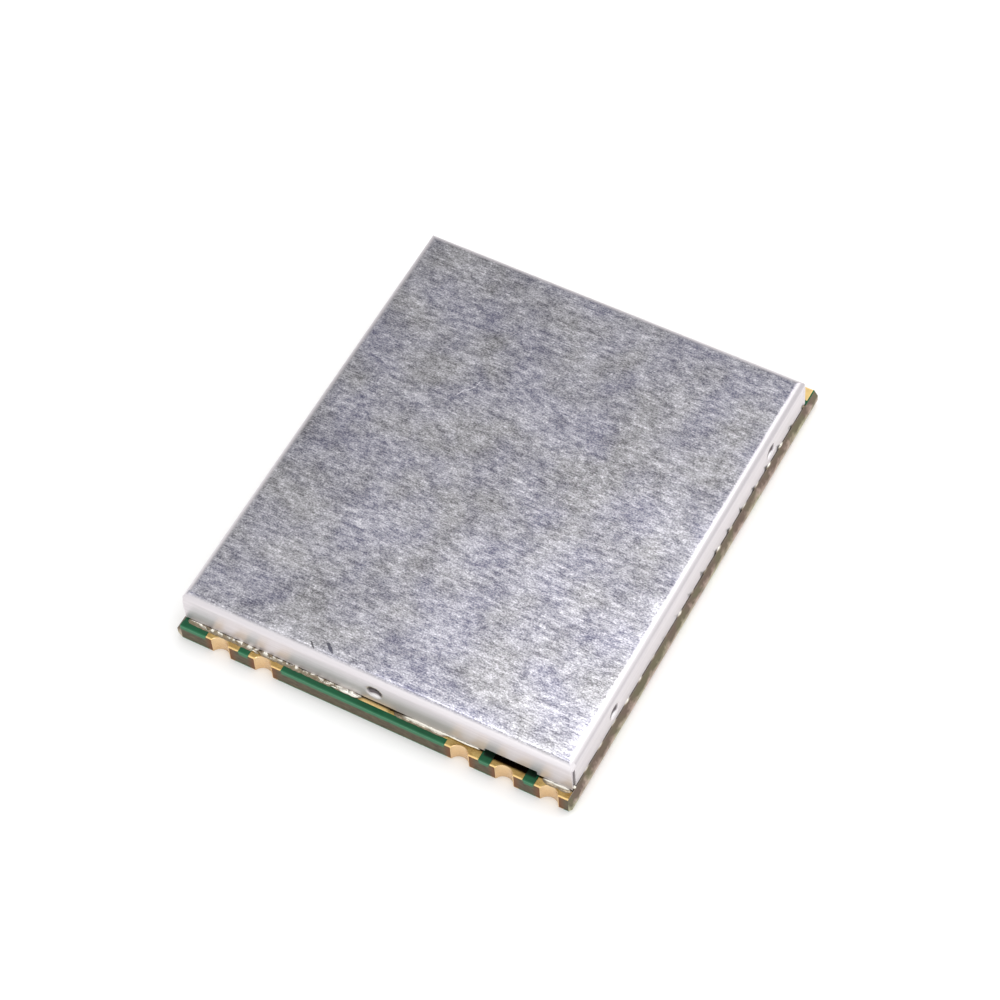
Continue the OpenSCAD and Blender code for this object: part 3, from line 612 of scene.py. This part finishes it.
# Shield cover. One blank of bright tin-plated steel, folded down on four sides over a small radius. The front
# and rear walls lap the ends of the side walls, with a slit between them. Six snap dimples are punched into
# its walls, and a gate is cut in the front wall over the antenna's land.
SHEET = 0.2 * MM
FOLD = 0.45 * MM
FOLD_STEPS = 12
CORNER = 0.14 * MM
CORNER_SHARES = (0.3, 0.55, 0.72, 0.84, 0.93, 1.0)
SLIT = 0.12 * MM
LAP_R = 0.03 * MM
LAP_EASE = 0.3 * MM
GATE_RISE = 0.25 * MM
DIMPLE_R = 0.5 * MM
DIMPLE_DEPTH = 0.2 * MM
DIMPLE_RISE = 0.85 * MM
SIDE_DIMPLES = (cover_low.y + 4.5 * MM, cover_high.y - 4.1 * MM)
COARSE = 0.5 * MM
FINE = 0.05 * MM
WAVE = 0.012 * MM
WAVE_LENGTH = 2.2 * MM
BURR = 0.02 * MM

middle = (cover_low + cover_high) / 2
half = (cover_high - cover_low) / 2
flat = Vector((half.x - FOLD, half.y - FOLD))
wall_top = cover_high.z - FOLD
gate = (antenna_land_x - GATE_W / 2, antenna_land_x + GATE_W / 2)
gate_top = cover_low.z + GATE_RISE
dimple_level = cover_low.z + DIMPLE_RISE


def stations(reach, exact, centres):
    """Places from -reach to reach: even, with exact ones kept, and close together round the dimples."""
    count = round(2 * reach / COARSE)
    near = DIMPLE_R + 2 * FINE
    steps = [reach * (2 * i / count - 1) for i in range(count + 1)]
    kept = [s for s in steps if all(abs(s - c) > near for c in centres)]
    kept = [s for s in kept if all(abs(s - e) > FINE for e in exact)]
    for c in centres:
        fine_count = round(near / FINE)
        kept += [c + FINE * i for i in range(-fine_count, fine_count + 1)]
    return sorted({*kept, *exact, -reach, reach})


side_dimples = [y - middle.y for y in SIDE_DIMPLES]
across = stations(flat.x, [x - middle.x for x in gate], [0.0])
along = stations(flat.y, [], side_dimples)

# From the flat top's edge outwards and down: reach, height and how far the sheet has bent there
profile = []
for i in range(FOLD_STEPS + 1):
    turn = math.pi / 2 * i / FOLD_STEPS
    profile.append((FOLD * math.sin(turn), wall_top + FOLD * math.cos(turn), i / FOLD_STEPS))
levels = [wall_top - FINE * i for i in range(1, int((wall_top - cover_low.z) / FINE))]
levels = [z for z in levels if abs(z - gate_top) > FINE / 2]
profile += [(FOLD, z, 1.0) for z in sorted([*levels, gate_top, cover_low.z], reverse=True)]

CAP_R = (DIMPLE_R ** 2 + DIMPLE_DEPTH ** 2) / (2 * DIMPLE_DEPTH)


def pressed(away):
    """How deep a dimple is at a distance from its centre."""
    return math.sqrt(CAP_R ** 2 - away ** 2) - CAP_R + DIMPLE_DEPTH if away < DIMPLE_R else 0.0


def eased(spot, z):
    """Rounds the upright corners of the cover in plan, which are sharper below the folds."""
    r = max(LAP_R, CORNER * (1 - max(0.0, wall_top - z) / LAP_EASE))
    over = Vector((abs(spot.x) - half.x + r, abs(spot.y) - half.y + r))
    if min(over) <= 0 or over.length <= r:
        return spot
    over *= r / over.length
    rounded = Vector((half.x - r, half.y - r)) + over
    return Vector((math.copysign(rounded.x, spot.x), math.copysign(rounded.y, spot.y)))


def wavy(spot, z, margin):
    """How far the sheet stands in from true, fading over the last millimetre before a fold or corner."""
    swing = 0.5 + 0.5 * noise.noise(Vector((spot.x, spot.y, z)) / WAVE_LENGTH)
    return WAVE * swing * min(1.0, max(0.0, margin / MM))


form = bmesh.new()
rolled = form.verts.layers.float.new("rolled")
punched = form.verts.layers.float.new("punched")
side_end = half.y - SHEET - SLIT
across_back = [-s for s in reversed(across)]
along_back = [-s for s in reversed(along)]
# Each wall's way out, half size that way and sideways, end, places along it, and dimples
flaps = (
    (Vector((0, -1)), half.y, half.x, half.x, across, [0.0]),
    (Vector((1, 0)), half.x, half.y, side_end, along, side_dimples),
    (Vector((0, 1)), half.y, half.x, half.x, across_back, [0.0]),
    (Vector((-1, 0)), half.x, half.y, side_end, along_back, [-s for s in side_dimples]),
)
for out, half_out, half_side, wall_end, places_along, dimples in flaps:
    sideways = Matrix.Rotation(math.pi / 2, 2) @ out
    flat_side = half_side - FOLD
    columns = [(-flat_side, -share) for share in reversed(CORNER_SHARES)]
    columns += [(s, 0.0) for s in places_along]
    columns += [(flat_side, share) for share in CORNER_SHARES]
    grid = []
    for s, share in columns:
        column = []
        for reach, z, bent in profile:
            aside = s + share * reach
            deepest = inset = 0.0
            if z < wall_top - FINE / 2:
                aside = max(-wall_end, min(wall_end, aside))
                deepest = max(pressed(math.hypot(aside - c, z - dimple_level)) for c in dimples)
                inset = deepest + wavy(sideways * aside + out, z, min(half_side - abs(aside), wall_top - z))
            spot = eased(out * (half_out - FOLD + reach) + sideways * aside, z) - out * inset
            foot = BURR * noise.noise(Vector((aside, half_out, 0)) / MM) if z == cover_low.z else 0.0
            vert = form.verts.new((spot.x + middle.x, spot.y + middle.y, z + foot))
            vert[rolled] = 1.0 - bent
            vert[punched] = deepest / DIMPLE_DEPTH
            column.append(vert)
        grid.append(column)
    for i in range(len(columns) - 1):
        centre = sideways.x * (columns[i][0] + columns[i + 1][0]) / 2 + middle.x
        under_gate = out.y == -1 and gate[0] < centre < gate[1]
        for j in range(len(profile) - 1):
            if not (under_gate and profile[j][1] <= gate_top + FINE / 10):
                form.faces.new((grid[i][j], grid[i][j + 1], grid[i + 1][j + 1], grid[i + 1][j]))
top = []
for y in along:
    row = []
    for x in across:
        dip = wavy(Vector((x, y)), 0.0, min(flat.x - abs(x), flat.y - abs(y)))
        vert = form.verts.new((x + middle.x, y + middle.y, cover_high.z - dip))
        vert[rolled] = 1.0
        row.append(vert)
    top.append(row)
for lower, upper in zip(top, top[1:]):
    for a, b, c, d in zip(lower, lower[1:], upper[1:], upper):
        form.faces.new((a, b, c, d))
bmesh.ops.remove_doubles(form, verts=form.verts, dist=0.002 * MM)
bmesh.ops.recalc_face_normals(form, faces=form.faces)
cover_mesh = bpy.data.meshes.new("folded_cover")
form.to_mesh(cover_mesh)
form.free()
cover = new_piece("folded_cover", cover_mesh)
thickness = cover.modifiers.new("sheet", "SOLIDIFY")
thickness.thickness = SHEET
thickness.offset = -1
plain_mesh(cover)
sharpen(cover.data, degrees=40)
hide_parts("shield_cover")

# Tin plate. The top keeps the rolled finish, a grey speckle with short level scuffs, bluish oxide and a few
# nicks. The tool rubbed the walls, which are painted paler than the top, partly for that finish and partly as
# painted light. The folds are painted paler still as a painted highlight, most at the front and right, and
# all but the front one carry a painted shade line. Low on the front wall a painted reflection of the board
# darkens it, painted shade marks lie at the right wall's feet, and the dimples have painted shade in the bowl
# and a painted highlight on the lower lip.
STREAK = (1.5 * MM, 0.1 * MM)
BLOTCH = (0.5 * MM, 0.27 * MM)
# The rolled grain is finer than this, and is drawn coarse enough to show
SPECK = (0.11 * MM, 0.075 * MM)
CLOUD = 2.6 * MM
OXIDE = 3.4 * MM
DRAW_LINE = (5 * MM, 0.14 * MM)
HIGHLIGHT_SIDE = (-14 * MM, 26 * MM)
TONE = 0.52
CONTRAST = 1.5
CREASE = 0.3
CREASE_W = 0.24
CREASE_SHADE = 0.6
REFLECTION_BAND = (1.9 * MM, 2.6 * MM)
REFLECTION_FROM = (-5 * MM, 2 * MM)
REFLECTION_TO = (9 * MM, 4 * MM)
REFLECTION_DULL = 0.25
FRONT_ROLLED = 0.15
FRAY = 0.15
LIP_DROP = (0.25 * MM, 0.42 * MM)
LIP_SHINE = 0.4
FOOT_SHADE = (0.6 * MM, 0.24 * MM)
FOOT_SHADE_FRAY = (0.9 * MM, 0.6 * MM)
FOOT_SHADE_LEAN = 0.6
FOOT_SHADE_SLIM = 2.0
FOOT_SHADE_AHEAD = 0.3 * MM
FOOT_SHADE_FROM = (-5 * MM, 1 * MM)
# Each nick's place, length and width in millimetres, and its turn in degrees
DARK_NICKS = ((-2.84, -12.75, 0.8, 0.2, -40), (-3.75, -12.98, 0.5, 0.1, -43))
LIGHT_NICKS = (
    (-4.67, 4.02, 0.66, 0.06, 66), (-4.41, 4.39, 0.36, 0.07, 35), (-4.2, 4.62, 0.36, 0.06, 59),
    (-4.08, 4.98, 0.46, 0.05, 82),
)

tin, tree, place = new_finish("rolled_tin_plate")
patterns = []
for (length, width), detail, roughness in ((STREAK, 2, 0.6), (BLOTCH, 2, 0.6), (SPECK, 1, 0.7)):
    drawn_out = add(tree, "ShaderNodeMapping", {
        "Vector": place, "Scale": (1 / length, 1 / width, 1 / length),
    })["Vector"]
    patterns.append(add(tree, "ShaderNodeTexNoise", {
        "Vector": drawn_out, "Scale": 1, "Detail": detail, "Roughness": roughness,
    })["Fac"])
streaks, blotches, specks = patterns
clouds = add(tree, "ShaderNodeTexNoise", {"Vector": place, "Scale": 1 / CLOUD, "Detail": 2})["Fac"]
tone = TONE
for pattern, weight in ((streaks, 0.55), (blotches, 1.0), (specks, 1.12), (clouds, 0.4)):
    swing = add(tree, "ShaderNodeMath", {0: pattern, 1: 0.5}, operation="SUBTRACT")["Value"]
    tone = add(tree, "ShaderNodeMath", {0: swing, 1: weight, 2: tone}, operation="MULTIPLY_ADD")["Value"]
tone = add(tree, "ShaderNodeMath", {0: tone, 1: 0.0}, operation="MAXIMUM")["Value"]
tone = add(tree, "ShaderNodeMath", {0: tone, 1: CONTRAST}, operation="POWER")["Value"]
for nicks, change in ((DARK_NICKS, -0.8), (LIGHT_NICKS, 0.5)):
    deepest = 0.0
    for x, y, length, width, angle in nicks:
        nick = add(tree, "ShaderNodeMapping", {
            "Vector": place, "Location": (x * MM, y * MM, cover_high.z),
            "Rotation": (0, 0, math.radians(angle)), "Scale": (length / 2 * MM, width / 2 * MM, MM),
        }, vector_type="TEXTURE")["Vector"]
        inside = add(tree, "ShaderNodeVectorMath", {0: nick}, operation="LENGTH")["Value"]
        depth = add(tree, "ShaderNodeMapRange", {"Value": inside, "From Min": 1.2, "From Max": 0.5})["Result"]
        deepest = add(tree, "ShaderNodeMath", {0: depth, 1: deepest}, operation="MAXIMUM")["Value"]
    tone = add(tree, "ShaderNodeMath", {0: deepest, 1: change, 2: tone}, operation="MULTIPLY_ADD")["Value"]
films = add(tree, "ShaderNodeTexNoise", {"Vector": place, "Scale": 1 / OXIDE, "Detail": 2})["Fac"]
films = add(tree, "ShaderNodeMapRange", {"Value": films, "From Min": 0.38, "From Max": 0.62})["Result"]
oxide = add(tree, "ShaderNodeMix", {
    "Factor": films, "A": linear("#666568"), "B": linear("#5C5C78"),
}, data_type="RGBA")["Result"]
rolled_tone = add(tree, "ShaderNodeMix", {
    "Factor": tone, "A": oxide, "B": linear("#FBF9FF"),
}, data_type="RGBA")["Result"]
drawn = add(tree, "ShaderNodeMapping", {
    "Vector": place, "Scale": (1 / DRAW_LINE[0], 1 / DRAW_LINE[0], 1 / DRAW_LINE[1]),
})["Vector"]
draw_lines = add(tree, "ShaderNodeTexNoise", {"Vector": drawn, "Scale": 1, "Detail": 2})["Fac"]
wall_tone = add(tree, "ShaderNodeMix", {
    "Factor": draw_lines, "A": linear("#D3CDD0"), "B": linear("#ECE6E9"),
}, data_type="RGBA")["Result"]
rolled_share = add(tree, "ShaderNodeAttribute", {}, attribute_name="rolled")["Fac"]
at = add(tree, "ShaderNodeSeparateXYZ", {"Vector": place})
# A painted highlight: the folds are painted paler, most at the front and right
towards_front_right = add(tree, "ShaderNodeMath", {0: at["X"], 1: at["Y"]}, operation="SUBTRACT")["Value"]
fold_highlight_side = add(tree, "ShaderNodeMapRange", {
    "Value": towards_front_right, "From Min": HIGHLIGHT_SIDE[0], "From Max": HIGHLIGHT_SIDE[1],
})["Result"]
fold_highlight_tone = add(tree, "ShaderNodeMix", {
    "Factor": fold_highlight_side, "A": linear("#C3BEC2"), "B": linear("#FAF5F8"),
}, data_type="RGBA")["Result"]
fold_highlight = add(tree, "ShaderNodeMapRange", {
    "Value": rolled_share, "From Min": 0.1, "From Max": 0.5,
})["Result"]
wall_tone = add(tree, "ShaderNodeMix", {
    "Factor": fold_highlight, "A": wall_tone, "B": fold_highlight_tone,
}, data_type="RGBA")["Result"]
on_front = add(tree, "ShaderNodeMath", {0: at["Y"], 1: cover_low.y + FOLD}, operation="LESS_THAN")["Value"]
# Painted shade: a dark line along the folds, left off the front one
sharpness = add(tree, "ShaderNodeMath", {
    0: on_front, 1: -CREASE_SHADE, 2: CREASE_SHADE,
}, operation="MULTIPLY_ADD")["Value"]
off_crease = add(tree, "ShaderNodeMath", {0: rolled_share, 1: CREASE}, operation="SUBTRACT")["Value"]
off_crease = add(tree, "ShaderNodeMath", {0: off_crease}, operation="ABSOLUTE")["Value"]
crease_shade = add(tree, "ShaderNodeMapRange", {
    "Value": off_crease, "From Max": CREASE_W, "To Min": sharpness, "To Max": 0.0,
})["Result"]
wall_tone = add(tree, "ShaderNodeMix", {
    "Factor": crease_shade, "A": wall_tone, "B": linear("#A9A3A8"),
}, data_type="RGBA")["Result"]
# A painted reflection of the board: the front wall is painted darker and warmer low down, and less metallic
board_reflection = add(tree, "ShaderNodeMapRange", {"Value": at["Z"], "From Min": REFLECTION_BAND[1], "From Max": REFLECTION_BAND[0]})["Result"]
to_right = add(tree, "ShaderNodeMapRange", {
    "Value": at["X"], "From Min": REFLECTION_FROM[0], "From Max": REFLECTION_FROM[1],
})["Result"]
off_corner = add(tree, "ShaderNodeMapRange", {
    "Value": at["X"], "From Min": REFLECTION_TO[0], "From Max": REFLECTION_TO[1], "To Min": 0.3,
})["Result"]
for share in (on_front, to_right, off_corner):
    board_reflection = add(tree, "ShaderNodeMath", {0: board_reflection, 1: share}, operation="MULTIPLY")["Value"]
wall_tone = add(tree, "ShaderNodeMix", {
    "Factor": board_reflection, "A": wall_tone, "B": linear("#C2BDBA"),
}, data_type="RGBA")["Result"]
rolled_on = add(tree, "ShaderNodeMath", {
    0: on_front, 1: FRONT_ROLLED, 2: rolled_share,
}, operation="MULTIPLY_ADD")["Value"]
frayed = add(tree, "ShaderNodeMath", {0: blotches, 1: FRAY, 2: rolled_on}, operation="MULTIPLY_ADD")["Value"]
rubbed = add(tree, "ShaderNodeMapRange", {"Value": frayed, "From Min": 1.05, "From Max": 0.78})["Result"]
# The top is painted darker than the walls: partly its rolled finish, partly painted shade
colour = add(tree, "ShaderNodeMix", {
    "Factor": rubbed, "A": rolled_tone, "B": wall_tone,
}, data_type="RGBA")["Result"]
dull = add(tree, "ShaderNodeMapRange", {"Value": rubbed, "To Min": 0.28, "To Max": 0.34})["Result"]
bare_metal = add(tree, "ShaderNodeMapRange", {"Value": rubbed, "To Min": 1.0, "To Max": 0.6})["Result"]
bare_metal = add(tree, "ShaderNodeMath", {
    0: board_reflection, 1: -REFLECTION_DULL, 2: bare_metal,
}, operation="MULTIPLY_ADD")["Value"]
punch = add(tree, "ShaderNodeAttribute", {}, attribute_name="punched")["Fac"]
polished = add(tree, "ShaderNodeMapRange", {"Value": punch, "From Min": 0.05, "From Max": 0.4})["Result"]
gloss = add(tree, "ShaderNodeMix", {"Factor": polished, "A": dull, "B": 0.18})["Result"]
# Painted shade in the dimples' upper bowls and a painted highlight on their lower lips
bowl_shade = add(tree, "ShaderNodeMapRange", {
    "Value": punch, "From Min": 0.2, "From Max": 0.5, "To Max": 0.9,
})["Result"]
low_part = add(tree, "ShaderNodeMapRange", {
    "Value": at["Z"], "From Min": dimple_level - LIP_DROP[0], "From Max": dimple_level - LIP_DROP[1],
})["Result"]
high_part = add(tree, "ShaderNodeMath", {0: 1.0, 1: low_part}, operation="SUBTRACT")["Value"]
bowl_shade = add(tree, "ShaderNodeMath", {0: bowl_shade, 1: high_part}, operation="MULTIPLY")["Value"]
lip_highlight = add(tree, "ShaderNodeMath", {0: polished, 1: low_part}, operation="MULTIPLY")["Value"]
for share, painted_tone in ((bowl_shade, "#43363D"), (lip_highlight, "#FFFDFE")):
    colour = add(tree, "ShaderNodeMix", {
        "Factor": share, "A": colour, "B": linear(painted_tone),
    }, data_type="RGBA")["Result"]
bare_metal = add(tree, "ShaderNodeMath", {
    0: lip_highlight, 1: LIP_SHINE, 2: bare_metal,
}, operation="MULTIPLY_ADD")["Value"]
# Painted shade: leaning dark marks at the right wall's feet, beside the frame's feet
up_wall = add(tree, "ShaderNodeMath", {0: at["Z"], 1: cover_low.z}, operation="SUBTRACT")["Value"]
leaning = add(tree, "ShaderNodeMath", {
    0: up_wall, 1: FOOT_SHADE_LEAN, 2: at["Y"],
}, operation="MULTIPLY_ADD")["Value"]
before_foot = add(tree, "ShaderNodeMath", {
    0: leaning, 1: cover_y - FOOT_SHADE_AHEAD,
}, operation="SUBTRACT")["Value"]
before_foot = add(tree, "ShaderNodeMath", {0: before_foot, 1: FOOT_PITCH / 2}, operation="PINGPONG")["Value"]
from_foot = add(tree, "ShaderNodeMath", {
    0: before_foot, 1: FOOT_SHADE_SLIM, 2: up_wall,
}, operation="MULTIPLY_ADD")["Value"]
for pattern, fray in zip((blotches, specks), FOOT_SHADE_FRAY):
    from_foot = add(tree, "ShaderNodeMath", {
        0: pattern, 1: fray, 2: from_foot,
    }, operation="MULTIPLY_ADD")["Value"]
mean_fray = sum(FOOT_SHADE_FRAY) / 2
foot_shade = add(tree, "ShaderNodeMapRange", {
    "Value": from_foot, "From Min": FOOT_SHADE[0] + mean_fray, "From Max": FOOT_SHADE[1] + mean_fray,
})["Result"]
on_right = add(tree, "ShaderNodeMath", {
    0: at["X"], 1: cover_high.x - SHEET,
}, operation="GREATER_THAN")["Value"]
rearwards = add(tree, "ShaderNodeMapRange", {
    "Value": at["Y"], "From Min": FOOT_SHADE_FROM[0], "From Max": FOOT_SHADE_FROM[1],
})["Result"]
for share in (on_right, rearwards):
    foot_shade = add(tree, "ShaderNodeMath", {0: foot_shade, 1: share}, operation="MULTIPLY")["Value"]
colour = add(tree, "ShaderNodeMix", {
    "Factor": foot_shade, "A": colour, "B": linear("#1F1B1D"),
}, data_type="RGBA")["Result"]
scuffed = add(tree, "ShaderNodeMix", {"Factor": rubbed, "A": tone, "B": draw_lines})["Result"]
scuff_bump = add(tree, "ShaderNodeBump", {
    "Height": scuffed, "Strength": 0.4, "Distance": 0.006 * MM,
})["Normal"]
surface = add(tree, "ShaderNodeBsdfPrincipled", {
    "Base Color": colour, "Metallic": bare_metal, "Roughness": gloss, "Normal": scuff_bump,
})["BSDF"]
add(tree, "ShaderNodeOutputMaterial", {"Surface": surface})
cover.data.materials.append(tin)


# Shield frame. A folded strip of the same tin-plated sheet under the cover, rubbed all over by the tool. It
# is soldered to the ring by its feet, and the cover's dimples snap into it.
dress(tin, "shield_frame")


# Stand. A sheet of white paper in a white tent under a soft overhead lamp, with a second lamp to the right
# and behind. The tent is brightest in front, paler round the foot of its walls, and greyer above and behind.
PAPER_LIFT = 0.1
TENT_FRONT = (0.37, -0.9, 0.23)

bpy.ops.mesh.primitive_plane_add(size=3)
floor = bpy.context.object
floor.name = "paper"
paper, tree, _ = new_finish("white_paper")
light_path = add(tree, "ShaderNodeLightPath", {})
seen = light_path["Is Camera Ray"]
for other in ("Is Glossy Ray", "Is Transmission Ray"):
    seen = add(tree, "ShaderNodeMath", {0: seen, 1: light_path[other]}, operation="MAXIMUM")["Value"]
lift = add(tree, "ShaderNodeMath", {0: seen, 1: PAPER_LIFT}, operation="MULTIPLY")["Value"]
surface = add(tree, "ShaderNodeBsdfPrincipled", {
    "Base Color": linear("#F2F2F2"), "Roughness": 0.95, "Specular IOR Level": 0.1,
    "Emission Color": linear("#FFFFFF"), "Emission Strength": lift,
})["BSDF"]
add(tree, "ShaderNodeOutputMaterial", {"Surface": surface})
floor.data.materials.append(paper)

world = bpy.data.worlds.new("studio")
bpy.context.scene.world = world
world.use_nodes = True
tree = world.node_tree
tree.nodes.clear()
towards = add(tree, "ShaderNodeTexCoord", {})["Generated"]
ahead_of_it = add(tree, "ShaderNodeVectorMath", {
    0: towards, 1: TENT_FRONT,
}, operation="DOT_PRODUCT")["Value"]
in_front = add(tree, "ShaderNodeMapRange", {
    "Value": ahead_of_it, "From Min": -0.25, "From Max": 0.4,
})["Result"]
rise = add(tree, "ShaderNodeSeparateXYZ", {"Vector": towards})["Z"]
low = add(tree, "ShaderNodeMapRange", {
    "Value": rise, "From Min": 0.6, "From Max": 0.15, "To Max": 0.25,
})["Result"]
pale = add(tree, "ShaderNodeMath", {0: in_front, 1: low}, operation="MAXIMUM")["Value"]
level = add(tree, "ShaderNodeMapRange", {"Value": pale, "To Min": 0.56, "To Max": 1.0})["Result"]
sky = add(tree, "ShaderNodeBackground", {"Color": linear("#FFFFFF"), "Strength": level})["Background"]
add(tree, "ShaderNodeOutputWorld", {"Surface": sky})


def softbox(name, size, away, azimuth, elevation, radiance):
    """A square lamp that faces the part from a direction."""
    lamp = bpy.data.lights.new(name, "AREA")
    lamp.size = size
    lamp.energy = radiance * math.pi * size ** 2
    obj = bpy.data.objects.new(name, lamp)
    turn, rise = math.radians(azimuth), math.radians(elevation)
    towards = Vector((math.cos(turn) * math.cos(rise), math.sin(turn) * math.cos(rise), math.sin(rise)))
    obj.location = towards * away
    obj.rotation_euler = towards.to_track_quat("Z", "Y").to_euler()
    bpy.context.scene.collection.objects.link(obj)


softbox("overhead_softbox", size=102 * MM, away=170 * MM, azimuth=78, elevation=82, radiance=2.9)
softbox("right_softbox", size=160 * MM, away=260 * MM, azimuth=50, elevation=48, radiance=1.4)

camera_data = bpy.data.cameras.new("camera")
camera_data.sensor_width = 36
camera_data.lens = 123.395
camera_data.clip_start = 10 * MM
camera = bpy.data.objects.new("camera", camera_data)
bpy.context.scene.collection.objects.link(camera)
eye = Vector((54.331, -84.985, 149.323)) * MM
ahead = Vector((-0.30441, 0.47487, -0.82574)).normalized()
right = Vector((0.87703, 0.47799, -0.04843)).normalized()
up = right.cross(ahead).normalized()
right = ahead.cross(up)
stance = Matrix((right, up, -ahead)).transposed().to_4x4()
camera.matrix_world = Matrix.Translation(eye) @ stance
bpy.context.scene.camera = camera
bpy.context.scene.view_settings.view_transform = "Standard"
